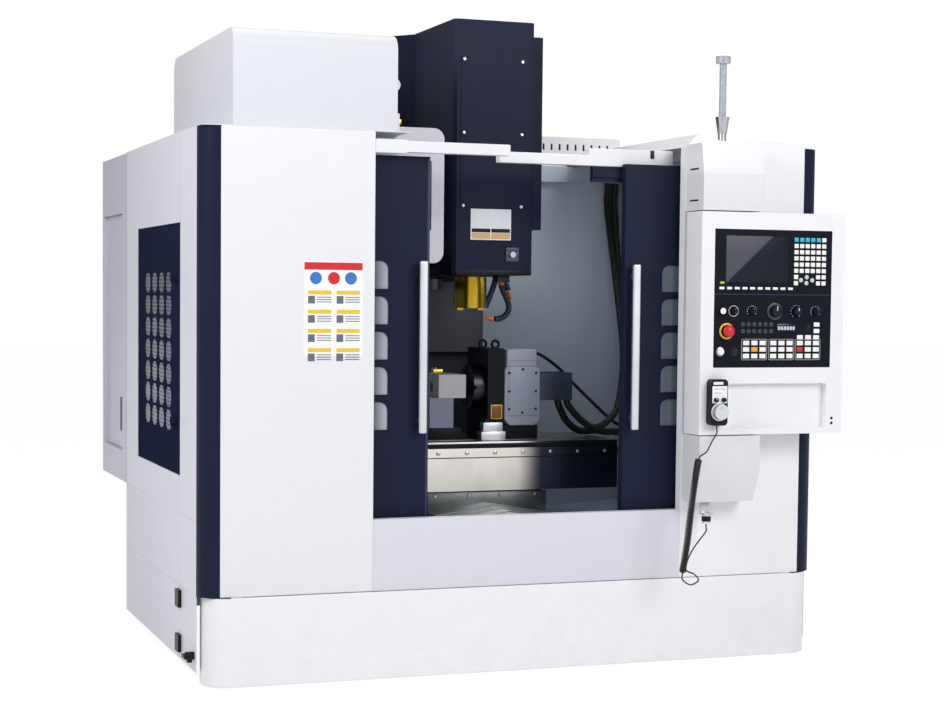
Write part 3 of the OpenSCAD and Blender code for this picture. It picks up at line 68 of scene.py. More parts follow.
def addNode(tree, kind, links=None, **settings):
    node = tree.nodes.new("ShaderNode" + kind)
    for key, value in settings.items():
        if hasattr(node, key):
            setattr(node, key, value)
        else:
            node.inputs[key.replace("_", " ")].default_value = value
    join(tree, node, links or {})
    return node


def startMaterial(name, **settings):  # settings are for the inputs of its shader
    material = bpy.data.materials.new(name)
    material.use_nodes = True
    tree = material.node_tree
    shader = tree.nodes["Principled BSDF"]
    for key, value in settings.items():
        shader.inputs[key.replace("_", " ")].default_value = value
    place = addNode(tree, "TexCoord").outputs["Object"]
    return material, tree, shader, place


def perMetre(size):  # pattern scale from a real size in millimetres
    return 1000.0 / size


# paint on sheet steel: an orange peel drawn coarse enough to show, a cloudy sheen, a little dust low down;
# with a dark tone that darkening is painted shade
def powderCoat(name, tone, rough, peelMm=5.0, peel=0.06, dustAndLowShade=0.1, dustAndLowShadeTone="#8D8C90", shine=0.5, secondCoatAndShadeSplit=None):
    material, tree, shader, place = startMaterial(name, Specular_IOR_Level=shine, IOR=1.5)
    cloud = addNode(tree, "TexNoise", {"Vector": place}, Scale=perMetre(420), Detail=5.0)
    dustAndShadeNoise = addNode(tree, "TexNoise", {"Vector": place}, Scale=perMetre(60), Detail=8.0, Roughness=0.7)
    skin = addNode(tree, "TexNoise", {"Vector": place}, Scale=perMetre(peelMm), Detail=2.0)
    height = addNode(tree, "SeparateXYZ", {"Vector": place}).outputs["Z"]
    low = addNode(tree, "MapRange", {"Value": height},
                  From_Min=0.0, From_Max=0.55, To_Min=dustAndLowShade * 2.2, To_Max=dustAndLowShade * 0.35)
    spread = addNode(tree, "Math", {0: low, 1: dustAndShadeNoise}, operation="MULTIPLY")
    tint = addNode(tree, "Mix", {"Factor": spread}, data_type="RGBA",
                   A=hexColour(tone), B=hexColour(dustAndLowShadeTone))
    if secondCoatAndShadeSplit:  # another coat above a height in metres; on the arms the darker tone below it is painted shade
        above = addNode(tree, "Math", {0: height}, operation="GREATER_THAN")
        above.inputs[1].default_value = secondCoatAndShadeSplit[0]
        tint = addNode(tree, "Mix", {"Factor": above, "A": tint}, data_type="RGBA", B=hexColour(secondCoatAndShadeSplit[1]))
    gloss = addNode(tree, "MapRange", {"Value": cloud}, To_Min=rough - 0.07, To_Max=rough + 0.09)
    bump = addNode(tree, "Bump", {"Height": skin}, Strength=peel, Distance=0.6 * mm)
    join(tree, shader, {"Base Color": tint, "Roughness": gloss, "Normal": bump})
    return material


# bare metal worked one way: long lines, drawn coarse enough to show, that spread the highlight
def workedMetal(name, tone, rough, along=(1, 0, 0), lineMm=2.5, stain=0.25, stainTone="#5B564C", darkAlongX=None):
    material, tree, shader, place = startMaterial(name, Metallic=1.0)
    stretch = tuple(0.02 if a else 1.0 for a in along)
    turn = addNode(tree, "Mapping", {"Vector": place}, Scale=stretch)
    lines = addNode(tree, "TexNoise", {"Vector": turn}, Scale=perMetre(lineMm), Detail=3.0)
    patch = addNode(tree, "TexNoise", {"Vector": place}, Scale=perMetre(110), Detail=7.0, Roughness=0.65)
    worn = addNode(tree, "MapRange", {"Value": patch}, From_Min=0.48, From_Max=0.75, To_Max=stain)
    tint = addNode(tree, "Mix", {"Factor": worn}, data_type="RGBA",
                   A=hexColour(tone), B=hexColour(stainTone))
    if darkAlongX:  # darker bluish tone that begins between two places along X, in metres
        length = addNode(tree, "SeparateXYZ", {"Vector": place}).outputs["X"]
        darkShare = addNode(tree, "MapRange", {"Value": length}, interpolation_type="SMOOTHSTEP",
                      From_Min=darkAlongX[0], From_Max=darkAlongX[1])
        tint = addNode(tree, "Mix", {"Factor": darkShare, "A": tint}, data_type="RGBA", B=hexColour(darkAlongX[2]))
    gloss = addNode(tree, "MapRange", {"Value": lines},
                    To_Min=max(0.05, rough - 0.1), To_Max=rough + 0.12)
    bump = addNode(tree, "Bump", {"Height": lines}, Strength=0.12, Distance=0.3 * mm)
    join(tree, shader, {"Base Color": tint, "Roughness": gloss, "Normal": bump})
    return material


# moulded plastic: a spark-eroded grain, drawn coarse enough to show, and a hand-worn sheen
def mouldedPlastic(name, tone, rough, grainMm=1.2, grain=0.15, shine=0.5):
    material, tree, shader, place = startMaterial(name, Specular_IOR_Level=shine, IOR=1.5)
    speck = addNode(tree, "TexNoise", {"Vector": place}, Scale=perMetre(grainMm), Detail=3.0)
    wear = addNode(tree, "TexNoise", {"Vector": place}, Scale=perMetre(30), Detail=4.0)
    base = hexColour(tone)
    paler = tuple(min(1.0, c * 1.12 + 0.003) for c in base[:3]) + (1.0,)
    tint = addNode(tree, "Mix", {"Factor": wear}, data_type="RGBA", A=base, B=paler)
    gloss = addNode(tree, "MapRange", {"Value": wear}, To_Min=rough - 0.06, To_Max=rough + 0.08)
    bump = addNode(tree, "Bump", {"Height": speck}, Strength=grain, Distance=0.2 * mm)
    join(tree, shader, {"Base Color": tint, "Roughness": gloss, "Normal": bump})
    return material


# idle display: a painted reflection, two dark greys split on a slant, each paler towards the upper left
def paintedReflectionDisplay(name, pale, dark, rough, slope, offset):
    material, tree, shader, place = startMaterial(name, Specular_IOR_Level=0.08, Roughness=rough)
    along = addNode(tree, "VectorMath", {0: place}, operation="DOT_PRODUCT")
    along.inputs[1].default_value = (-slope, 0.0, 1.0)
    split = addNode(tree, "MapRange", {"Value": along}, interpolation_type="SMOOTHSTEP",
                    From_Min=offset - 0.004, From_Max=offset + 0.004)
    paintedReflectionFade = addNode(tree, "MapRange", {"Value": along},
                   From_Min=offset - 0.22, From_Max=offset + 0.22, To_Min=0.62)
    tint = addNode(tree, "Mix", {"Factor": split}, data_type="RGBA", A=hexColour(dark), B=hexColour(pale))
    shade = addNode(tree, "Mix", {"A": tint, "B": paintedReflectionFade}, data_type="RGBA", blend_type="MULTIPLY", Factor=1.0)
    join(tree, shader, {"Base Color": shade})
    return material


# clear or frosted sheet with faint wiped streaks
def clearSheet(name, tone, rough, through, paintedReflectionFade=None):
    material, tree, shader, place = startMaterial(name, Base_Color=hexColour(tone),
                                                  Transmission_Weight=through, IOR=1.49)
    turn = addNode(tree, "Mapping", {"Vector": place}, Scale=(1.0, 1.0, 0.15))
    wipe = addNode(tree, "TexNoise", {"Vector": turn}, Scale=perMetre(45), Detail=5.0)
    gloss = addNode(tree, "MapRange", {"Value": wipe}, To_Min=rough, To_Max=rough + 0.06)
    join(tree, shader, {"Roughness": gloss})
    if paintedReflectionFade:  # painted reflection: a paler tint between two places along X, in metres
        length = addNode(tree, "SeparateXYZ", {"Vector": place}).outputs["X"]
        share = addNode(tree, "MapRange", {"Value": length}, interpolation_type="SMOOTHSTEP",
                        From_Min=paintedReflectionFade[0], From_Max=paintedReflectionFade[1])
        tint = addNode(tree, "Mix", {"Factor": share}, data_type="RGBA",
                       A=hexColour(tone), B=hexColour(paintedReflectionFade[2]))
        join(tree, shader, {"Base Color": tint})
    return material


finish = {
    "white": powderCoat("powderCoatedSteelWhite", "#ECECF2", 0.36),
    # a paler copy of the white paint: painted light on the plinth, right front panel and pendant case
    "whitePaintedLight": powderCoat("powderCoatedSteelWhitePaintedLight", "#F5F5F9", 0.36),
    # a darker copy of the white paint: painted shade on the side panels, lower front panel and shroud
    "whitePaintedShade": powderCoat("powderCoatedSteelWhitePaintedShade", "#DEDEE9", 0.42),
    "jointGrey": mouldedPlastic("sealedPanelJoint", "#5E5F6E", 0.6),
    "sideNavy": powderCoat("powderCoatedSteelSideDoor", "#20253B", 0.6, dustAndLowShade=0.02, shine=0.0),  # quite dull
    "filterZinc": workedMetal("zincPlatedFilterSheet", "#7A7E90", 0.38, stain=0.6, stainTone="#343846"),
    # a darker copy of the white paint: painted shade on the cabinet at the side
    "cabinetWhitePaintedShade": powderCoat("powderCoatedSteelCabinetPaintedShade", "#CACAD8", 0.42),
    # the white paint, darker below 1.77 m: painted shade on the lower part of the arms
    "arm": powderCoat("powderCoatedSteelArmPaintedShadeBelow", "#E4E5EA", 0.36, secondCoatAndShadeSplit=(1.77, "#ECECF2")),
    # a darker copy of the white paint: painted shade on the magazine cover
    "cover": powderCoat("powderCoatedSteelCoverPaintedShade", "#DCDDE4", 0.38),
    "navy": powderCoat("satinEnamelNavy", "#1B2037", 0.42, peelMm=4.0, peel=0.04, dustAndLowShade=0.03,
                       dustAndLowShadeTone="#4A5068", shine=0.1),
    "navyEdge": powderCoat("satinEnamelBlue", "#343A55", 0.42, peelMm=4.0, dustAndLowShade=0.03, shine=0.2),
    # the dark tone low down on the inner walls is painted shade
    "inner": powderCoat("enamelledSplashPanelPaintedLowShade", "#C4D0DF", 0.3, dustAndLowShade=0.25, dustAndLowShadeTone="#2A2F3C",
                        secondCoatAndShadeSplit=(1.86, "#EDEDF2")),  # the vent strip above the wall is white
    "castGrey": powderCoat("paintedCastIron", "#2B2F3B", 0.5, peelMm=9.0, peel=0.25, dustAndLowShade=0.3,
                           dustAndLowShadeTone="#2E2C2A"),
    "gearGrey": powderCoat("paintedGearCase", "#AEB3C4", 0.4, peelMm=6.0, peel=0.12, dustAndLowShade=0.2,
                           dustAndLowShadeTone="#4A4A4A"),
    "gearPlate": powderCoat("paintedGearPlate", "#A6AEC2", 0.36, peelMm=6.0, peel=0.12, dustAndLowShade=0.2,
                            dustAndLowShadeTone="#C4C6D0"),
    "darkCast": powderCoat("paintedCastIronDark", "#12151F", 0.45, peelMm=8.0, peel=0.2, dustAndLowShade=0.1,
                           dustAndLowShadeTone="#3A3E4A", shine=0.15),
    "slate": powderCoat("paintedMotorBox", "#364257", 0.4, peelMm=6.0, dustAndLowShade=0.1),
    "tailPaint": powderCoat("paintedTailstock", "#7E829C", 0.36, peelMm=6.0, dustAndLowShade=0.1,
                            secondCoatAndShadeSplit=(0.937, "#BDBCBE")),  # bare head on a blue foot
    "wayGrey": powderCoat("paintedWayCover", "#5A5A64", 0.4, dustAndLowShade=0.25, dustAndLowShadeTone="#34343A"),
    "ground": workedMetal("groundSteel", "#A3A29D", 0.28, stain=0.5),
    # the skirt turns darker and bluish along X
    "skirtSteel": workedMetal("coldRolledSteel", "#F0EDE6", 0.42, stain=0.2, stainTone="#9A948A",
                              darkAlongX=(0.14, 0.25, "#3C4054")),
    "brushed": workedMetal("brushedAluminium", "#D6DADF", 0.42, along=(0, 0, 1), lineMm=1.6, stain=0.1),
    "sheetSteel": workedMetal("rolledStainlessSheet", "#86898B", 0.3, along=(0, 1, 0), lineMm=3.0, stain=0.4),
    "brass": workedMetal("turnedBrass", "#E6C03A", 0.22, lineMm=1.5, stain=0.2, stainTone="#6B4E1C"),
    "blackened": workedMetal("blackOxideSteel", "#3B3B40", 0.34, lineMm=1.5, stain=0.3, stainTone="#1A1A1C"),
    "bolt": workedMetal("zincPlatedSteel", "#C4C6C8", 0.3, lineMm=1.0, stain=0.15),
    "black": mouldedPlastic("absBlack", "#121319", 0.42, shine=0.2),
    "panelFilm": mouldedPlastic("polyesterOverlayNavy", "#10131F", 0.5, grainMm=0.8, grain=0.08, shine=0.08),
    "blackGloss": mouldedPlastic("polycarbonateBlack", "#0D0E12", 0.2, grain=0.04),
    "keyGrey": mouldedPlastic("absPaleGrey", "#C4C7CD", 0.4),
    "keyCyan": mouldedPlastic("absCyan", "#1FB6CC", 0.4),
    "keyOrange": mouldedPlastic("absOrange", "#F0A31C", 0.4),
    "keyRed": mouldedPlastic("absRed", "#CF1B22", 0.34),
    "yellow": mouldedPlastic("absYellow", "#E6BF1C", 0.4),
    "keyWhite": mouldedPlastic("absWhite", "#F2F2F2", 0.36),
    "greenLamp": mouldedPlastic("acrylicLime", "#B9CF2E", 0.25),
    "blueField": mouldedPlastic("filmBlue", "#2B74C4", 0.35),
    "paleField": mouldedPlastic("filmPaleBlue", "#CBDAE4", 0.35),
    "chartField": mouldedPlastic("filmWhiteBlue", "#E4E9EF", 0.35),
    "tanField": mouldedPlastic("filmTan", "#D9AE70", 0.35),
    "amberFilm": mouldedPlastic("filmAmber", "#8E4C1C", 0.35),
    "lineGrey": mouldedPlastic("inkGrey", "#5F6574", 0.5),
    "rubber": mouldedPlastic("nitrileRubber", "#141416", 0.55, grainMm=0.8, grain=0.25),
    "hoseNavy": mouldedPlastic("acetalNavy", "#1D2444", 0.38),
    "tipOrange": mouldedPlastic("acetalOrange", "#D9702A", 0.38),
    # the paler right part of the left window is a painted reflection
    "pane": clearSheet("tintedPolycarbonate", "#3A4260", 0.06, 0.3, paintedReflectionFade=(-0.558, -0.486, "#D9DAE6")),
    "paneDim": clearSheet("tintedPolycarbonateDim", "#79828F", 0.06, 0.4),
    "frost": clearSheet("frostedAcrylic", "#C3C7D4", 0.2, 0.55),
    # the screen's slanted split and paler upper left are a painted reflection
    "screenPaintedReflection": paintedReflectionDisplay("displayGlassPaintedReflection", "#5A5B66", "#2A2C38", 0.3, slope=0.91, offset=0.7304),
}
print("materials made,", len(finish))

nodeFinish = {
    "white": "left_front_panel header_rails",
    "whitePaintedLight": "plinth right_front_panel pendant_case",
    "whitePaintedShade": "lower_front_panel left_side_panel right_side_panel magazine_shroud",
    "cabinetWhitePaintedShade": "cabinet cabinet_door",
    "arm": "pendant_arms",
    "cover": "magazine_cover",
    "sideNavy": "side_door",
    "navy": "corner_trims left_door right_door head_cover",
    "inner": "inner_left_wall inner_right_wall back_wall",
    "castGrey": "base_casting column_casting magazine_drive saddle head_casting",
    "gearGrey": "rotary_gearcase",
    "darkCast": "rotary_body",
    "skirtSteel": "table_skirt",
    "ground": "table tailstock_quill tool_carousel",
    "tailPaint": "tailstock",
    "blackened": "rotary_faceplate tool_arm",
    "brushed": "left_handle right_handle mpg_wheel",
    "sheetSteel": "y_way_cover",
    "wayGrey": "z_way_cover",
    "brass": "spindle",
    "bolt": "signal_base",
    "paleField": "unclamp_button",
    "panelFilm": "control_panel",
    "black": "mode_knob feed_knob mpg_body mpg_axis_knob side_fittings drain_lever",
    "keyRed": "estop",
    "keyWhite": "cycle_start air_unit",
    "rubber": "mpg_cord conduit_a conduit_b",
    "hoseNavy": "coolant_nozzles",
    "pane": "left_window",
    "paneDim": "right_window",
    "frost": "signal_lens",
}
edgeRound = {  # bevel of the folded or cast edges in millimetres, and the nodes that have it
    1: "magazine_shroud table_skirt control_panel side_door left_door right_door",
    1.2: "table",
    1.5: "spindle cycle_start unclamp_button",
    2: "drain_lever mode_knob feed_knob mpg_wheel rotary_faceplate signal_lens",
    3: "lower_front_panel plinth cabinet_door side_fittings tool_arm head_casting",
    4: "left_front_panel right_front_panel header_rails cabinet head_cover tailstock saddle air_unit "
       "magazine_drive",
    5: "magazine_cover rotary_body rotary_gearcase",
    6: "left_handle right_handle mpg_body",
    7: "pendant_case",
    8: "pendant_arms column_casting base_casting",
}
for key, names in nodeFinish.items():
    for name in names.split():
        node = nodes[name]
        if node.material_slots:
            for slot in node.material_slots:
                slot.material = finish[key]
        else:
            node.data.materials.append(finish[key])
for width, names in edgeRound.items():
    for name in names.split():
        node = nodes[name]
        weld = node.modifiers.new("weld", "WELD")
        weld.merge_threshold = 0.02 * mm
        bevel = node.modifiers.new("edge", "BEVEL")
        bevel.width = width * mm
        bevel.segments = 3
        bevel.limit_method = "ANGLE"
        bevel.angle_limit = math.radians(40)
        node.modifiers.new("shade", "WEIGHTED_NORMAL")
print("nodes finished")


def boxIn(bm, low, high, edge=0.0):
    made = bmesh.ops.create_cube(bm, size=1.0)["verts"]
    size = high - low
    for v in made:
        v.co = low + Vector(((v.co.x + 0.5) * size.x, (v.co.y + 0.5) * size.y, (v.co.z + 0.5) * size.z))
    if edge:
        edges = list({e for v in made for e in v.link_edges})
        bmesh.ops.bevel(bm, geom=edges, offset=edge * mm, segments=2, profile=0.5, affect="EDGES")


def turnIn(bm, base, axis, profile, steps=32, closed=False):  # profile of (radius, height) in millimetres
    axis = Vector(axis).normalized()
    side = axis.orthogonal().normalized()
    other = axis.cross(side)
    rows = []
    for r, h in profile:
        centre = base + axis * (h * mm)
        if r <= 0:
            rows.append([bm.verts.new(centre)])
            continue
        rows.append([bm.verts.new(centre + (side * math.cos(a) + other * math.sin(a)) * (r * mm))
                     for a in (2 * math.pi * i / steps for i in range(steps))])
    pairs = list(zip(rows, rows[1:])) + ([(rows[-1], rows[0])] if closed else [])
    for low, high in pairs:
        for i in range(steps):
            j = (i + 1) % steps
            corner = [low[i % len(low)], low[j % len(low)], high[j % len(high)], high[i % len(high)]]
            face = list(dict.fromkeys(corner))
            if len(face) > 2:
                bm.faces.new(face)


def roundLoop(x0, z0, x1, z1, r, foot, steps=6):  # rounded rectangle in the XZ plane, millimetres
    points = []
    for sx, sz, start, q in ((1, 1, 0, r), (0, 1, 90, r), (0, 0, 180, foot), (1, 0, 270, foot)):
        cx, cz = (x1 - q if sx else x0 + q), (z1 - q if sz else z0 + q)
        for i in range(steps + 1):
            a = math.radians(start + 90 * i / steps)
            points.append((cx + q * math.cos(a), cz + q * math.sin(a)))
    return points


# a flat ring round a window, a key block or a cover; foot is the radius of its two lower corners
def frameIn(bm, x0, z0, x1, z1, r, wide, yFront, yBack, foot=None):
    foot = r if foot is None else foot
    outer = roundLoop(x0 - wide, z0 - wide, x1 + wide, z1 + wide, r + wide, foot + wide)
    inner = roundLoop(x0, z0, x1, z1, r, foot)
    rings = [[bm.verts.new(at(x, y, z)) for x, z in loop]
             for loop, y in ((outer, yBack), (outer, yFront), (inner, yFront), (inner, yBack))]
    count = len(outer)
    for a in range(4):
        b = (a + 1) % 4
        for i in range(count):
            j = (i + 1) % count
            bm.faces.new((rings[a][i], rings[a][j], rings[b][j], rings[b][i]))


def addPiece(name, bm, key, body, smooth=40):
    bmesh.ops.recalc_face_normals(bm, faces=bm.faces)
    mesh = bpy.data.meshes.new(name)
    bm.to_mesh(mesh)
    bm.free()
    mesh.materials.append(finish[key])
    mesh.shade_smooth()
    mesh.set_sharp_from_angle(angle=math.radians(smooth))
    piece = bpy.data.objects.new(name, mesh)
    scene.collection.objects.link(piece)
    if body:
        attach(piece, body)
    return piece


def addBoxes(name, boxes, key, body, edge=0.4):
    bm = bmesh.new()
    for low, high in boxes:
        boxIn(bm, at(*low), at(*high), edge)
    return addPiece(name, bm, key, body)


def addTurned(name, places, profile, key, body, axis=(0, -1, 0), steps=32, closed=False):
    bm = bmesh.new()
    for place in places:
        turnIn(bm, at(*place), axis, profile, steps, closed)
    return addPiece(name, bm, key, body)


def addBoxSet(body, pieces):  # each piece has its finish, its rounded edge and its boxes
    for name, (key, edge, boxes) in pieces.items():
        addBoxes(name, boxes, key, body, edge)


def addTurnedSet(body, pieces):  # each piece has its finish, axis, steps, places and profile
    for name, (key, axis, steps, places, profile) in pieces.items():
        closed = profile[0][0] > 0 and profile[-1][0] > 0  # a ring goes round its hole
        addTurned(name, places, profile, key, body, axis, steps, closed=closed)


def smoothRoute(points, steps):  # the same curve as the solids follow
    route = []
    count = len(points)
    for i in range(count - 1):
        a, b, c, d = (Vector(points[max(0, min(count - 1, i + k))]) for k in (-1, 0, 1, 2))
        for k in range(steps):
            t = k / steps
            route.append(0.5 * (2 * b + (c - a) * t + (2 * a - 5 * b + 4 * c - d) * t * t
                                + (3 * b - a - 3 * c + d) * t * t * t))
    route.append(Vector(points[-1]))
    return route


def evenRoute(route, step):  # points at even distances, so ribs and links are even
    result = [route[0]]
    carry = 0.0
    for a, b in zip(route, route[1:]):
        span = (b - a).length
        while carry + span >= step and span > 0:
            a = a.lerp(b, (step - carry) / span)
            result.append(a)
            span = (b - a).length
            carry = 0.0
        carry += span
    result[-1] = route[-1]
    return result


def tubeMesh(name, route, radii, sides, key):  # a closed tube along a route in millimetres
    bm = bmesh.new()
    rows = []
    normal = None
    for i, p in enumerate(route):
        ahead = (route[min(len(route) - 1, i + 1)] - route[max(0, i - 1)]).normalized()
        normal = ahead.orthogonal() if normal is None else normal - ahead * normal.dot(ahead)
        normal.normalize()
        other = ahead.cross(normal)
        rows.append([bm.verts.new(at(*(p + (normal * math.cos(a) + other * math.sin(a)) * radii[i])))
                     for a in (2 * math.pi * k / sides for k in range(sides))])
    for low, high in zip(rows, rows[1:]):
        for k in range(sides):
            j = (k + 1) % sides
            bm.faces.new((low[k], low[j], high[j], high[k]))
    bm.faces.new(rows[0])
    bm.faces.new(rows[-1])
    return addPiece(name, bm, key, None, smooth=60)


# camera at the place and angle the photograph was taken from, with the photograph's sizes in pixels
cameraSpec = {"yaw": 20.0752, "pitch": 3.1766, "roll": 0.578, "place": (-2457.18, -6198.55, 1328.49),
              "focal": 1894.86, "width": 944, "drop": 47.5, "sensor": 36.0}
yaw, pitch, roll = (math.radians(cameraSpec[k]) for k in ("yaw", "pitch", "roll"))
ahead = Vector((math.sin(yaw) * math.cos(pitch), math.cos(yaw) * math.cos(pitch), -math.sin(pitch)))
right = Vector((math.cos(yaw), -math.sin(yaw), 0))
over = right.cross(ahead)
rightTilt = right * math.cos(roll) + over * math.sin(roll)
overTilt = over * math.cos(roll) - right * math.sin(roll)
cameraData = bpy.data.cameras.new("camera")
camera = bpy.data.objects.new("camera", cameraData)
camera.matrix_world = Matrix.Translation(at(*cameraSpec["place"])) @ Matrix(
    (rightTilt, overTilt, -ahead)).transposed().to_4x4()
cameraData.sensor_width = cameraSpec["sensor"]
cameraData.lens = cameraSpec["focal"] * cameraSpec["sensor"] / cameraSpec["width"]
cameraData.shift_y = cameraSpec["drop"] / cameraSpec["width"]
scene.collection.objects.link(camera)
scene.camera = camera
print("camera placed")

# curly lead of the hand pulse unit: thin lead, tight coil, thin loop up to its plug
leadSpec = {
    "wire": 2.6, "coilRadius": 10.2, "pitch": 5.8, "perTurn": 14, "steps": 10, "sides": 8, "easeTurns": 1.5,
    "top": [(681, -160, 872), (681, -160, 858), (681, -160, 844), (660, -166, 815), (638, -170, 780),
            (620, -170, 768)],
    "coil": [(607, -170, 754), (594, -172, 690), (577, -172, 561), (564, -171, 448), (549, -170, 348)],
    "low": [(554, -165, 322), (588, -160, 303), (621, -155, 318), (604, -150, 340), (576, -146, 354),
            (585, -138, 388), (612, -125, 425), (650, -102, 455), (686, -80, 482), (686, -80, 496),
            (686, -80, 510)],
}
whole = smoothRoute(leadSpec["top"] + leadSpec["coil"] + leadSpec["low"], leadSpec["steps"])
coilStart = len(leadSpec["top"]) * leadSpec["steps"]
coilEnd = coilStart + (len(leadSpec["coil"]) - 1) * leadSpec["steps"]
spine = whole[coilStart:coilEnd + 1]
spineLength = sum((b - a).length for a, b in zip(spine, spine[1:]))
turns = int(spineLength / leadSpec["pitch"])
coiled = []
for n in range(turns * leadSpec["perTurn"] + 1):
    share = n / (turns * leadSpec["perTurn"])
    spot = share * (len(spine) - 1)
    i = min(int(spot), len(spine) - 2)
    centre = spine[i].lerp(spine[i + 1], spot - i)
    axis = (spine[i + 1] - spine[i]).normalized()
    u = (Vector((0, 1, 0)) - axis * axis.y).normalized()
    w = axis.cross(u)
    ease = min(1.0, share * turns / leadSpec["easeTurns"], (1 - share) * turns / leadSpec["easeTurns"])
    a = 2 * math.pi * n / leadSpec["perTurn"]
    coiled.append(centre + (u * math.cos(a) + w * math.sin(a)) * leadSpec["coilRadius"] * ease)
leadRoute = whole[:coilStart] + coiled + whole[coilEnd + 1:]
lead = tubeMesh("curlyLead", leadRoute, [leadSpec["wire"]] * len(leadRoute), leadSpec["sides"], "rubber")
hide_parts("mpg_cord")
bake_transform(lead)

# two corrugated conduits from the back wall to the rotary unit's motor box, and the thin feedback lead
# from the right inner wall to the gear case; split is the point that rests on the saddle
pipeSpec = {
    "steps": 16, "ribStep": 5.0,
    "conduit_a": {
        "radius": 14, "rib": 1.3, "sides": 14, "split": 6,
        "points": [(799, 1085, 1800), (799, 1085, 1760), (799, 1085, 1690), (797, 1005, 1452),
                   (782, 890, 1191), (750, 800, 1049), (690, 710, 896), (622, 660, 835), (550, 620, 811),
                   (497, 600, 833), (452, 586, 868), (421, 579, 900), (413, 577, 914), (411, 577, 926)]},
    "conduit_b": {
        "radius": 14, "rib": 1.3, "sides": 14, "split": 6,
        "points": [(831, 1085, 1800), (831, 1085, 1760), (831, 1085, 1690), (830, 1032, 1452),
                   (822, 940, 1191), (797, 850, 938), (738, 770, 800), (661, 720, 787), (575, 675, 797),
                   (488, 635, 801), (428, 612, 838), (398, 601, 880), (386, 594, 900), (380, 592, 914),
                   (378, 592, 926)]},
    "feedback": {
        "radius": 6.5, "rib": 0.0, "sides": 12, "split": 5,
        "points": [(859, 852, 880), (846, 852, 880), (834, 848, 872), (815, 832, 846), (775, 812, 820),
                   (727, 790, 812), (668, 757, 843), (580, 735, 913), (499, 721, 982), (453, 713, 1025),
                   (390, 692, 1069), (325, 656, 1100), (290, 642, 1106), (271, 640, 1106)]},
    "fitting": [(0, 0), (15, 0), (15, 5), (10, 7), (10, 14), (0, 14)],
}
for pipeName in ("conduit_a", "conduit_b", "feedback"):
    spec = pipeSpec[pipeName]
    full = smoothRoute(spec["points"], pipeSpec["steps"])
    cut = spec["split"] * pipeSpec["steps"]
    halves = (("Hanging", full[:cut + 1], "frame", "saddle"), ("Resting", full[cut:], "saddle", "table"))
    for label, part, first, second in halves:
        route = evenRoute(part, pipeSpec["ribStep"] / 2)
        radii = [spec["radius"] - spec["rib"] * (i % 2) for i in range(len(route))]
        pipe = tubeMesh(pipeName.replace("_", "") + label, route, radii, spec["sides"], "rubber")
        if pipeName in nodes:
            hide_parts(pipeName)
        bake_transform(pipe)
addTurned("feedbackFitting", [(860, 852, 880)], pipeSpec["fitting"], "black", "frame",
          axis=(-1, 0, 0), steps=6)
print("cords laid")

# telescopic roof over the Y ways, as a copy of the way cover's mesh
roof = bpy.data.objects.new("wayRoof", nodes["y_way_cover"].data.copy())
scene.collection.objects.link(roof)
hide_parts("y_way_cover")
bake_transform(roof)

# door windows: a navy gasket round each opening
windowSpec = {"left": (-807, "left_door"), "right": (558, "right_door"), "wide": 330, "tall": 104,
              "top": 1446, "pitch": 122, "count": 5, "corner": 34, "foot": 2, "lip": 4, "overlap": 2,
              "front": 58.6, "back": 62}
lip = windowSpec["lip"]
for side in ("left", "right"):
    x0, body = windowSpec[side]
    x1 = x0 + windowSpec["wide"]
    bm = bmesh.new()
    for i in range(windowSpec["count"]):
        z1 = windowSpec["top"] - i * windowSpec["pitch"]
        z0 = z1 - windowSpec["tall"]
        frameIn(bm, x0 + lip, z0 + lip, x1 - lip, z1 - lip, windowSpec["corner"] - lip,
                lip + windowSpec["overlap"], windowSpec["front"], windowSpec["back"], windowSpec["foot"])
    addPiece(side + "Gasket", bm, "navy", body)
addBoxes("leftClosingStrip", [((-342, 59.0, 541), (-332.6, 60.4, 1804))], "navyEdge", "left_door", 0.3)

# slatted filter sheet behind the slots of the side door, and the joints of the side panels
filterSpec = {"sheet": ((-1148.0, 450, 799), (-1147.3, 1065, 1433)), "slatX": (-1148.9, -1147.4),
              "slatY": (452, 1063), "low": 803, "tall": 8, "pitch": 14, "count": 45}
slats = [filterSpec["sheet"]]
for i in range(filterSpec["count"]):
    z = filterSpec["low"] + filterSpec["pitch"] * i
    heights = (z, z + filterSpec["tall"])
    slats.append(tuple(zip(filterSpec["slatX"], filterSpec["slatY"], heights)))
addBoxes("filterSheet", slats, "filterZinc", "side_door", 0.2)
sideJoints = [((-1149.9, 342, 1572), (-1149.0, 344, 1878)), ((-1150.3, 1426.6, 560), (-1149.7, 1429.4, 1878))]
addBoxes("sidePanelJoints", sideJoints, "jointGrey", "frame", 0)
addBoxes("cabinetLever", [((-1152.6, 1543.6, 758.6), (-1131.8, 1566.4, 898.4))], "black", "cabinet_door", 3)
print("doors dressed")

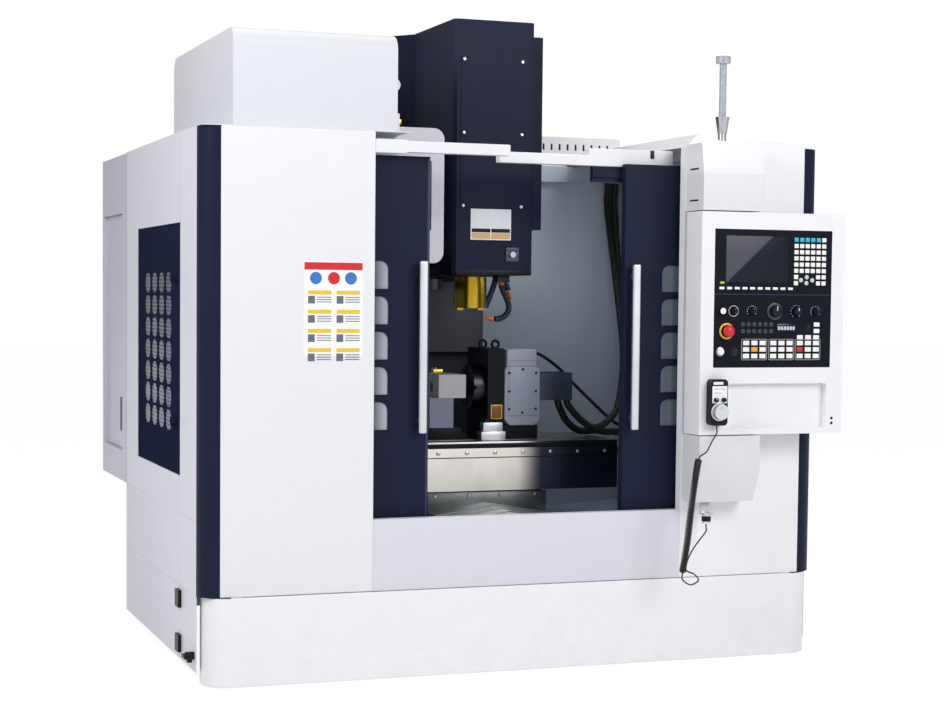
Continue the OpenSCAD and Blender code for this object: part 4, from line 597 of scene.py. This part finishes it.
# control panel: display, keys, switches and lamps on the black plate
panelSpec = {
    "face": -139, "sink": 0.2, "keyEdge": 1.2, "dialRow": 1280,
    "letters": {"cols": 6, "rows": 8, "left": 1001.67, "right": 1115.63, "top": 1539.18, "bottom": 1382.54,
                "size": (17, 15)},
    "soft": {"left": 702.12, "pitch": 30.81, "row": 1361.89, "count": 10, "size": (20, 9)},
    "arrows": [(1046.44, 1404.61), (1022.83, 1393.58), (1069.23, 1393.58), (1045.22, 1382.9)],
    "blocks": {"left": (803.46, 913.76, 1022.43), "pitch": 33.374, "rows": (1165.74, 1142.6, 1118.74),
               "size": (25, 16.5), "orange": (0, 1, 1), "red": (2, 0, 1), "margin": (17, 13), "line": 1.3,
               "corner": 4},
    "side": [(1090.4, 1233.02), (1090.4, 1209.52), (1022.43, 1186.74), (1055.8, 1186.74), (1089.18, 1186.74)],
    "sideSize": (24, 15.5),
    "lamps": {"left": 790.03, "pitch": 22.792, "count": 6, "rows": (1233.02, 1208.1)},
    "power": (704.15, 1381.12, 17, 8, 1.6),
    "ticks": {918: (27, 130), 1006: (22, 140), 825: (19, 120), 1085: (19, 120)},
    "knobs": {"mode_knob": ("modeKnob", 918, 20), "feed_knob": ("feedKnob", 1006, 15)},
    "bars": (751, 825, 1085), "loads": (931, 943, 955, 967, 979, 991), "tickCount": 11, "knobRibs": 20,
}
faceY = panelSpec["face"]
inY = faceY + panelSpec["sink"]


def keyBox(x, z, wide, tall, thick=2.4):
    return (x - wide / 2, faceY - thick, z - tall / 2), (x + wide / 2, inY, z + tall / 2)


letters = panelSpec["letters"]
white, cyan = [], []
for row in range(letters["rows"]):
    for col in range(letters["cols"]):
        if row > 5 and 0 < col < 4:  # the arrow keys go here
            continue
        x = letters["left"] + (letters["right"] - letters["left"]) * col / (letters["cols"] - 1)
        z = letters["top"] + (letters["bottom"] - letters["top"]) * row / (letters["rows"] - 1)
        (cyan if row == 0 and col < 5 else white).append(keyBox(x, z, *letters["size"]))
soft = panelSpec["soft"]
white += [keyBox(soft["left"] + soft["pitch"] * i, soft["row"], *soft["size"]) for i in range(soft["count"])]
addBoxes("letterKeys", white, "keyWhite", "pendant", panelSpec["keyEdge"])
addTurned("arrowKeys", [(x, faceY, z) for x, z in panelSpec["arrows"]],
          [(0, 2.2), (5.5, 2.4), (7.6, 1.6), (8.4, -0.2), (0, -0.2)], "keyGrey", "pendant", steps=24)
addBoxes("pageKeys", cyan, "keyCyan", "pendant", panelSpec["keyEdge"])
addBoxes("displayGlassPaintedReflection", [((718.5, -138.6, 1382.5), (970.5, -136.9, 1549.5))], "screenPaintedReflection", "pendant", 0.4)

blocks = panelSpec["blocks"]
blockKeys = {"keyOrange": [], "keyRed": [], "keyWhite": []}
outline = bmesh.new()
for block, left in enumerate(blocks["left"]):
    for col in range(3):
        for row, z in enumerate(blocks["rows"]):
            coloured = {blocks["orange"]: "keyOrange", blocks["red"]: "keyRed"}
            tone = coloured.get((block, col, row), "keyWhite")
            blockKeys[tone].append(keyBox(left + blocks["pitch"] * col, z, *blocks["size"]))
    besideX, besideZ = blocks["margin"]
    frameIn(outline, left - besideX, blocks["rows"][2] - besideZ, left + 2 * blocks["pitch"] + besideX,
            blocks["rows"][0] + besideZ, blocks["corner"], blocks["line"], faceY - 0.5, inY)
addPiece("keyOutline", outline, "keyGrey", "pendant")
blockKeys["keyWhite"] += [keyBox(x, z, *panelSpec["sideSize"]) for x, z in panelSpec["side"]]
for tone, boxes in blockKeys.items():
    addBoxes("moveKeys" + tone[3:], boxes, tone, "pendant", panelSpec["keyEdge"])

lampRow = panelSpec["lamps"]
lamps = [(lampRow["left"] + lampRow["pitch"] * i, faceY, z)
         for z in lampRow["rows"] for i in range(lampRow["count"])]
front = (0, -1, 0)
addBoxSet("pendant", {
    "loadDisplay": ("blackGloss", 0.4, [((928, faceY - 1.0, 1209), (1002, inY, 1235))]),
    "loadFields": ("keyGrey", 0, [((x, faceY - 1.3, 1213), (x + 9, faceY - 0.8, 1226))
                                  for x in panelSpec["loads"]]),
    "powerLamp": ("greenLamp", 1.4, [keyBox(*panelSpec["power"])]),
    "panelSeam": ("navyEdge", 0, [((672.5, faceY - 0.5, 1339), (1148.5, inY, 1341.5))]),
    "switchBars": ("blackGloss", 1, [((x - 3, -157, 1270), (x + 3, -152.5, 1290))
                                     for x in panelSpec["bars"]]),
})
addTurnedSet("pendant", {
    "jogSwitch": ("blackGloss", front, 24, [(1052.95, faceY, 1222.34)],
                  [(0, 9), (6, 9), (7.5, 7), (8.5, 0.6), (13, 0.6), (13, -0.2), (0, -0.2)]),
    "statusRings": ("lineGrey", front, 20, lamps, [(7, 0), (7, 0.8), (5.6, 0.8), (5.6, 0)]),
    "statusLamps": ("blackGloss", front, 16, lamps, [(0, 1.6), (3.6, 1.2), (5.4, 0), (5.4, -0.3), (0, -0.3)]),
    "modeDial": ("slate", front, 48, [(918, faceY, 1280)],
                 [(31, -0.2), (31, 0.8), (30, 1.2), (22, 1.2), (22, -0.2)]),
    "keyDial": ("keyGrey", front, 40, [(751, faceY, 1280)],
                [(20, -0.2), (20, 0.8), (17.5, 0.8), (17.5, -0.2)]),
    "stopCollar": ("yellow", front, 48, [(724, faceY, 1208)],
                   [(29, 0), (29, 2.2), (27, 3.2), (23, 3.2), (23, 0)]),
    "startCollar": ("bolt", front, 32, [(700, faceY, 1135)],
                    [(16, 0), (16, 2), (14.5, 3), (11.8, 3), (11.8, 0)]),
    "holdButton": ("blackGloss", front, 32, [(757, faceY, 1135)],
                   [(0, 7), (9, 7), (10.5, 5.5), (10.5, 3), (15, 3), (16, 2), (16, 0), (0, 0)]),
    "switchPointers": ("keyWhite", front, 32, [(703, -152.6, 1280)],
                       [(0, 1.6), (10, 1.6), (11.6, 0), (0, 0)]),
    "caseScrews": ("black", front, 20, [(1160, -140, 891), (1160, -140, 873)],
                   [(0, 2), (4, 2), (5, 1), (5, -0.3), (0, -0.3)]),
})
dialRow = panelSpec["dialRow"]
ticks = bmesh.new()
for x, (r, swing) in panelSpec["ticks"].items():
    for i in range(panelSpec["tickCount"]):
        a = math.radians(swing * (2 * i / (panelSpec["tickCount"] - 1) - 1))
        spot = at(x + r * math.sin(a), faceY - 0.1, dialRow + r * math.cos(a))
        turnIn(ticks, spot, front, [(0, 0.3), (1.3, 0.3), (1.3, -0.3), (0, -0.3)], 8)
addPiece("dialTicks", ticks, "keyWhite", "pendant")
for body, (label, x, r) in panelSpec["knobs"].items():
    ribs = bmesh.new()
    for i in range(panelSpec["knobRibs"]):
        a = 2 * math.pi * i / panelSpec["knobRibs"]
        turnIn(ribs, at(x + r * math.cos(a), -139.8, dialRow + r * math.sin(a)), front,
               [(0, 0), (1.5, 0), (1.5, 14), (0, 15)], 8)
    addPiece(label + "Ribs", ribs, "black", body)
    pointer = ((x - 1.2, -160.4, dialRow + 2), (x + 1.2, -159.2, dialRow + r - 2))
    addBoxes(label + "Pointer", [pointer], "keyWhite", body, 0.3)
stopProfile = [(0, 27), (9, 26.4), (17, 23.5), (21.5, 17), (22, 11), (20, 8), (13, 6), (11, 0), (0, 0)]
stop = addTurned("stopHead", [(724, -145, 1208)], stopProfile, "keyRed", "estop",
                 steps=48)
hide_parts("estop")
print("control panel dressed")

# hand pulse unit: scale ring, grip and label
pulseSpec = {"place": (681, -178, 921), "wheel": 27, "ribs": 40}
x, y, z = pulseSpec["place"]
addTurned("pulseScale", [(x, y, z)], [(32, 0), (32, 1), (28, 1), (28, 0)], "keyWhite", "pendant",
          steps=48, closed=True)
knurl = bmesh.new()
for i in range(pulseSpec["ribs"]):
    a = 2 * math.pi * i / pulseSpec["ribs"]
    spot = at(x + pulseSpec["wheel"] * math.cos(a), y - 1.5, z + pulseSpec["wheel"] * math.sin(a))
    turnIn(knurl, spot, front, [(0, 0), (1.2, 0), (1.2, 17), (0, 18)], 6)
grip = at(x, y - 21.8, z + 15)
turnIn(knurl, grip, front, [(0, 0.2), (4.5, 0.2), (5, -0.6), (0, -0.6)], 16)
addPiece("pulseKnurl", knurl, "brushed", "mpg_wheel")
addBoxSet("pendant", {
    "pulseLabel": ("keyWhite", 0.3, [((652, -178.7, 952), (711, -177.8, 1013)),
                                     ((656, -178.7, 1018), (695, -177.8, 1028))]),
    "pulseFields": ("paleField", 0.1, [((658, -179.0, 1000), (704, -178, 1006)),
                                       ((658, -179.0, 986), (690, -178, 991))]),
})
addBoxes("pulsePointers", [((664, -189.4, 964), (666, -188.7, 971))], "keyWhite", "mpg_axis_knob", 0.2)

# plug of the curly lead and its steel bracket under the lower arm, and the slots in the arms
plugProfile = [(0, 0), (7, 0), (9, 4), (16.6, 9), (17, 26), (14, 33.6), (0, 33.6)]
addTurned("leadPlug", [(686, -80, 510)], plugProfile, "black", "frame", axis=(0, 0, 1), steps=28)
addBoxSet("frame", {
    "plugBracket": ("bolt", 0.6, [((667.6, -66.4, 543.6), (704.4, -61.6, 589.6)),
                                  ((667.6, -98.4, 543.6), (704.4, -61.6, 548.4))]),
    "armSlots": ("black", 0.2, [((623.3, -98, 1783), (624.3, -32, 1789)),
                                ((623.3, -98, 1671), (624.3, -32, 1677)),
                                ((527, 96.4, 1830), (541, 100.3, 1859))]),
})

# colour chart on the left panel, plain fields only
chartSpec = {
    "sheet": ((-799, -0.35, 1116), (-591, 0.2, 1435)), "band": ((-797, -0.6, 1408), (-593, 0.1, 1433)),
    "discs": {"blueField": (-757, -634), "keyRed": (-694,)}, "discRow": 1380, "disc": 21,
    "columns": ((-784, -703), (-684, -602)), "top": 1338, "pitch": 65, "rows": 4, "bar": 13,
    "field": (24, 18, 44), "lines": 3, "line": 3, "lineTop": 21, "linePitch": 8, "lineLeft": 31,
}
addBoxes("chartSheet", [chartSpec["sheet"]], "keyWhite", "frame", 0)
addBoxes("chartBand", [chartSpec["band"]], "keyRed", "frame", 0)
discProfile = [(0, 0.6), (chartSpec["disc"], 0.6), (chartSpec["disc"], 0), (0, 0)]
for key, xs in chartSpec["discs"].items():
    addTurned("chartDisc" + key, [(x, 0, chartSpec["discRow"]) for x in xs], discProfile, key, "frame")
bars, fields = [], []
wide, below, foot = chartSpec["field"]
for row in range(chartSpec["rows"]):
    for x0, x1 in chartSpec["columns"]:
        z = chartSpec["top"] - chartSpec["pitch"] * row
        bars.append(((x0, -0.6, z - chartSpec["bar"]), (x1, 0.1, z)))
        fields.append(((x0, -0.55, z - foot), (x0 + wide, 0.1, z - below)))
        for k in range(chartSpec["lines"]):
            top = z - chartSpec["lineTop"] - chartSpec["linePitch"] * k
            fields.append(((x0 + chartSpec["lineLeft"], -0.55, top - chartSpec["line"]), (x1, 0.1, top)))
addBoxes("chartBars", bars, "yellow", "frame", 0)
addBoxes("chartFields", fields, "lineGrey", "frame", 0)

# head: plain chart plate, cover seam, screw heads, button collar
headSpec = {"fields": ((-43, 31), (35, 109)), "button": (93, 107, 131, 145),
            "buttonRows": (1454, 1469, 1491, 1506), "screwSide": 115, "screwRows": (1658, 1927, 2196),
            "middle": 37}


def chartRow(front, z0, z1):  # one row of fields, a field in each column of the chart
    return [((x0, front, z0), (x1, 430, z1)) for x0, x1 in headSpec["fields"]]


x0, x1, x2, x3 = headSpec["button"]
z0, z1, z2, z3 = headSpec["buttonRows"]
collar = [((a, 425.4, low), (b, 426.4, high)) for a, b, low, high in (
    (x0, x3, z0, z1), (x0, x3, z2, z3), (x0, x1, z1, z2), (x2, x3, z1, z2))]
addBoxSet("head", {
    "headChart": ("keyWhite", 0, [((-47, 429.2, 1533), (113, 430.2, 1648))]),
    "headChartFields": ("chartField", 0, chartRow(428.6, 1565, 1644)),
    "headChartBars": ("tanField", 0, chartRow(428.6, 1537, 1559)),
    "headChartStrip": ("black", 0, chartRow(428.4, 1561, 1575)),
    "headLip": ("black", 0.2, [((-103.6, 429.3, 1403.4), (189.6, 430.4, 1421)),
                               ((-116.4, 443, 1403.4), (-115.6, 900, 1421))]),
    "buttonPlate": ("slate", 0.2, collar),
})
seamLine = bmesh.new()
frameIn(seamLine, -90, 1648, 164, 2206, 1, 2.6, 429.4, 430.2)
addPiece("coverSeam", seamLine, "black", "head")
headScrews = [(headSpec["middle"] + side * headSpec["screwSide"], 424.2, z)
              for side in (-1, 1) for z in headSpec["screwRows"]]
addTurned("headScrews", headScrews, [(0, 1.0), (4.6, 1.0), (6.4, -0.6), (6.4, -3), (0, -3)], "bolt", "head",
          steps=20)

# jointed coolant hoses under the head, with a manifold and orange nozzles
hoseSpec = {
    "link": [(9, 0), (11.6, 2.5), (11.6, 8), (9.4, 11.5)], "step": 11.0, "sides": 20,
    "manifold": ((135, 620, 1378), (185, 680, 1405.8)),
    "main": [(157, 640, 1390), (158, 640, 1362), (172, 640, 1330), (187, 640, 1298), (189, 640, 1272),
             (177, 640, 1252), (156, 640, 1239), (124, 640, 1236)],
    "lean": [(140, 662, 1384), (130, 660, 1352), (112, 658, 1312), (96, 656, 1272)],
    "short": [(177, 670, 1386), (191, 670, 1366), (201, 670, 1342)],
    "nozzle": [(0, 0), (10, 0), (10, 9), (5, 32), (3, 32.5), (3, 22), (0, 22)],
    "collar": [(12.4, 0), (12.4, 16), (10, 18), (0, 18), (0, 0)],
}
hose = bmesh.new()
low, high = hoseSpec["manifold"]
boxIn(hose, at(*low), at(*high), 2.0)
for label in ("main", "lean", "short"):
    route = evenRoute(smoothRoute(hoseSpec[label], 12), hoseSpec["step"])
    for a, b in zip(route, route[1:]):
        turnIn(hose, at(*a), b - a, hoseSpec["link"], hoseSpec["sides"])
links = addPiece("hoseLinks", hose, "hoseNavy", "head")
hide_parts("coolant_nozzles")
tips = bmesh.new()
turnIn(tips, at(124, 640, 1236), (-1, 0, 0.2), hoseSpec["nozzle"], hoseSpec["sides"])
turnIn(tips, at(201, 670, 1344), (0.3, 0, -1), hoseSpec["nozzle"], hoseSpec["sides"])
turnIn(tips, at(157, 640, 1384), (0, 0, -1), hoseSpec["collar"], hoseSpec["sides"])
addPiece("hoseTips", tips, "tipOrange", "head")
print("head dressed")

# gear case of the rotary unit: one bevelled outline with its lid, screws and joint lines
gearSpec = {"front": 545, "back": 695, "round": 4.0, "screw": (158, 267), "rows": (894, 962, 1032),
            "middle": 212.5, "ends": (880, 1046), "seat": 542,
            "outline": [(140, 853), (162, 831), (263, 831), (285, 853), (285, 1043), (270, 1055), (270, 1121),
                        (148, 1121), (148, 1055), (140, 1043)]}
case = bmesh.new()
fore, aft = ([case.verts.new(at(x, gearSpec[key], z)) for x, z in gearSpec["outline"]]
             for key in ("front", "back"))
case.faces.new(fore)
case.faces.new(aft)
for i in range(len(fore)):
    j = (i + 1) % len(fore)
    case.faces.new((fore[i], fore[j], aft[j], aft[i]))
bmesh.ops.recalc_face_normals(case, faces=case.faces)
bmesh.ops.bevel(case, geom=list(case.edges), offset=gearSpec["round"] * mm, segments=3, profile=0.5,
                affect="EDGES")
gearCase = addPiece("gearCase", case, "gearGrey", "table")
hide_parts("rotary_gearcase")
gearScrews = [(x, gearSpec["seat"], z) for x in gearSpec["screw"] for z in gearSpec["rows"]]
gearScrews += [(gearSpec["middle"], gearSpec["seat"], z) for z in gearSpec["ends"]]

# fittings on the table and the saddle
up = (0, 0, 1)
tableSpec = {"left": -329.5, "right": 569.5, "bolts": 8, "firstBolt": -273.75, "boltPitch": 112.5,
             "boltRow": 737.5}
tableLeft, tableRight = tableSpec["left"], tableSpec["right"]
skirtBolts = [(tableSpec["firstBolt"] + tableSpec["boltPitch"] * i, 439, tableSpec["boltRow"])
              for i in range(tableSpec["bolts"])]
addTurnedSet("table", {
    "gearCaseScrews": ("blackened", front, 18, gearScrews,
                       [(0, 1.5), (3, 1.5), (5.2, 0.4), (5.2, -3), (0, -3)]),
    "skirtBolts": ("bolt", front, 6, skirtBolts, [(0, 1.4), (5, 1.4), (7.4, 0), (7.4, -3.9), (0, -3.9)]),
    "clampBolts": ("blackened", up, 24, [(58, 526, 846), (101, 526, 846)],
                   [(12, -0.4), (12, 2), (9, 2.4), (9, 10), (7.6, 11.4), (0, 11.4), (0, -0.4)]),
    "brassFitting": ("brass", (1, 0, 0), 28, [(-132.4, 605, 1038)],
                     [(0, 0), (12, 0), (14.4, 2), (14.4, 9), (11, 10), (11, 13), (14.4, 14), (14.4, 36.4),
                      (0, 36.4)]),
})
addBoxSet("table", {
    "gearCasePlate": ("gearPlate", 0.8, [((153, 543.4, 869), (272, 545.3, 1054))]),
    "gearCaseLine": ("lineGrey", 0, [((152, 544.6, 866.4), (273, 545.2, 868)),
                                     ((156, 544.6, 1078), (268, 545.2, 1079.4)),
                                     ((149, 544.6, 1057), (274, 545.2, 1058.4))]),
    "motorLid": ("slate", 1.2, [((285.6, 558.6, 926.6), (425.6, 560.4, 1030.6))]),
    "amberPlate": ("yellow", 0.2, [((88, 554.1, 856), (134, 555.3, 911))]),
    "amberField": ("amberFilm", 0.2, [((92, 553.6, 860), (130, 555, 907))]),
    "clampBlock": ("brushed", 2.5, [((30, 500, 778.1), (129, 550, 812)), ((40, 506, 812), (119, 546, 846))]),
    "tableEdge": ("skirtSteel", 0.3, [((tableLeft, 449.0, 771.4), (tableRight, 450.4, 777.8))]),
    "skirtSeam": ("black", 0, [((tableLeft, 446.2, 717.2), (tableRight, 447.4, 721.4))]),
    "tailFoot": ("darkCast", 1.0, [((-160.5, 564.4, 778.2), (-26.5, 765.6, 824.4))]),
    # a dark strip along the table's front face, above the skirt
    "tableFrontDarkStrip": ("darkCast", 0, [((tableLeft, 449.2, 754.2), (tableRight, 450.4, 771))]),
})
addBoxes("saddleApron", [((-192, 467.4, 474), (284, 469.7, 589))], "sheetSteel", "saddle", 0.6)
addTurned("apronBolts", [(x, 467.4, 576) for x in (-165, -30, 95, 235)],
          [(0, 5), (6, 5), (7.5, 3.5), (7.5, -0.4), (0, -0.4)], "bolt", "saddle", steps=6)

# dark door tracks under the white arms, face and fittings of the air unit, shade behind the vent slots
trackSpec = {"trackLeft": (-1146.4, -339.4), "trackRight": (299.4, 1180.4),
             "rail": (103.2, 124.8, 1741.2, 1797.4), "rib": (97.4, 104, 1756.6, 1783.4)}
for name in ("trackLeft", "trackRight"):
    x0, x1 = trackSpec[name]
    rails = [((x0, y0, z0), (x1, y1, z1)) for y0, y1, z0, z1 in (trackSpec["rail"], trackSpec["rib"])]
    addBoxes(name, rails, "navy", "frame", 0)
addTurnedSet("frame", {
    "gaugeFace": ("keyWhite", front, 32, [(-401, 264, 2070)],
                  [(0, 0.8), (19, 0.8), (21, 2.2), (22.6, 2.2), (22.6, -1), (0, -1)]),
    "airBowl": ("blackGloss", up, 32, [(-401, 290, 1906)], [(0, -34), (9, -34), (15, -28), (17, 0), (0, 0)]),
    "airKnob": ("black", up, 32, [(-401, 290, 2099)],
                [(16.4, 0), (16.4, 3), (13, 5), (13, 22), (10, 26), (0, 26), (0, 0)]),
})
addBoxSet("frame", {
    "airFittings": ("brass", 1, [((-412, 268.6, 1930), (-390, 270.4, 1954)),
                                 ((-378.3, 282, 1934), (-368, 298, 1950))]),
    "ventShade": ("black", 0, [((262, 1110.6, 1926), (852, 1111.6, 1974))]),
})
print("fittings done")

# pale floor and soft studio light; each lamp has its power, place, target and size
studio = {
    "floor": "#F4F4F6", "floorSize": 40.0, "world": 0.32, "glow": 1.16, "share": 0.8,
    "lamps": {
        "key": (258.0, (3.0, -7.0, 4.4), (0, 0, 1.0), (4.0, 3.0)),
        "inside": (0.75, (0.5, -0.4, 1.5), (0.42, 0.17, 1.0), (0.4, 0.25)),  # back wall of the work space
        "fill": (95.0, (-3.6, -2.2, 3.4), (-1.1, -0.6, 2.0), (2.0, 2.0)),
        "top": (70.0, (0, 0.5, 5.5), (0, 0, 0), (4.0, 4.0)),
    },
}
floorMesh = bmesh.new()
bmesh.ops.create_grid(floorMesh, x_segments=1, y_segments=1, size=studio["floorSize"])
floorData = bpy.data.meshes.new("floor")
floorMesh.to_mesh(floorData)
floorMesh.free()
floor = bpy.data.objects.new("floor", floorData)
scene.collection.objects.link(floor)
floorMaterial = bpy.data.materials.new("seamlessPaper")
floorMaterial.use_nodes = True
tree = floorMaterial.node_tree
paper = tree.nodes["Principled BSDF"]
paper.inputs["Base Color"].default_value = hexColour(studio["floor"])
paper.inputs["Roughness"].default_value = 0.8
glow = addNode(tree, "Emission", Color=(1, 1, 1, 1), Strength=studio["glow"])
path = addNode(tree, "LightPath")
seen = addNode(tree, "Math", {0: path.outputs["Is Camera Ray"], 1: path.outputs["Is Glossy Ray"]},
               operation="MAXIMUM")
share = addNode(tree, "Math", {0: seen}, operation="MULTIPLY")
share.inputs[1].default_value = studio["share"]
mixed = addNode(tree, "MixShader", {"Fac": share, 1: paper, 2: glow})
join(tree, tree.nodes["Material Output"], {"Surface": mixed})
floorData.materials.append(floorMaterial)

world = bpy.data.worlds.new("studio")
scene.world = world
world.use_nodes = True
tree = world.node_tree
path = addNode(tree, "LightPath")
seen = addNode(tree, "Math", {0: path.outputs["Is Camera Ray"], 1: path.outputs["Is Transmission Ray"]},
               operation="MAXIMUM")
level = addNode(tree, "MapRange", {"Value": seen}, To_Min=studio["world"], To_Max=1.0)
backdrop = tree.nodes["Background"]
backdrop.inputs["Color"].default_value = (1, 1, 1, 1)
join(tree, backdrop, {"Strength": level})

for name, (power, place, target, size) in studio["lamps"].items():
    data = bpy.data.lights.new(name, "AREA")
    data.shape = "RECTANGLE"
    data.size, data.size_y = size
    data.energy = power
    lamp = bpy.data.objects.new(name, data)
    lamp.location = place
    lamp.rotation_euler = (Vector(target) - Vector(place)).to_track_quat("-Z", "Y").to_euler()
    scene.collection.objects.link(lamp)
print("studio lit")
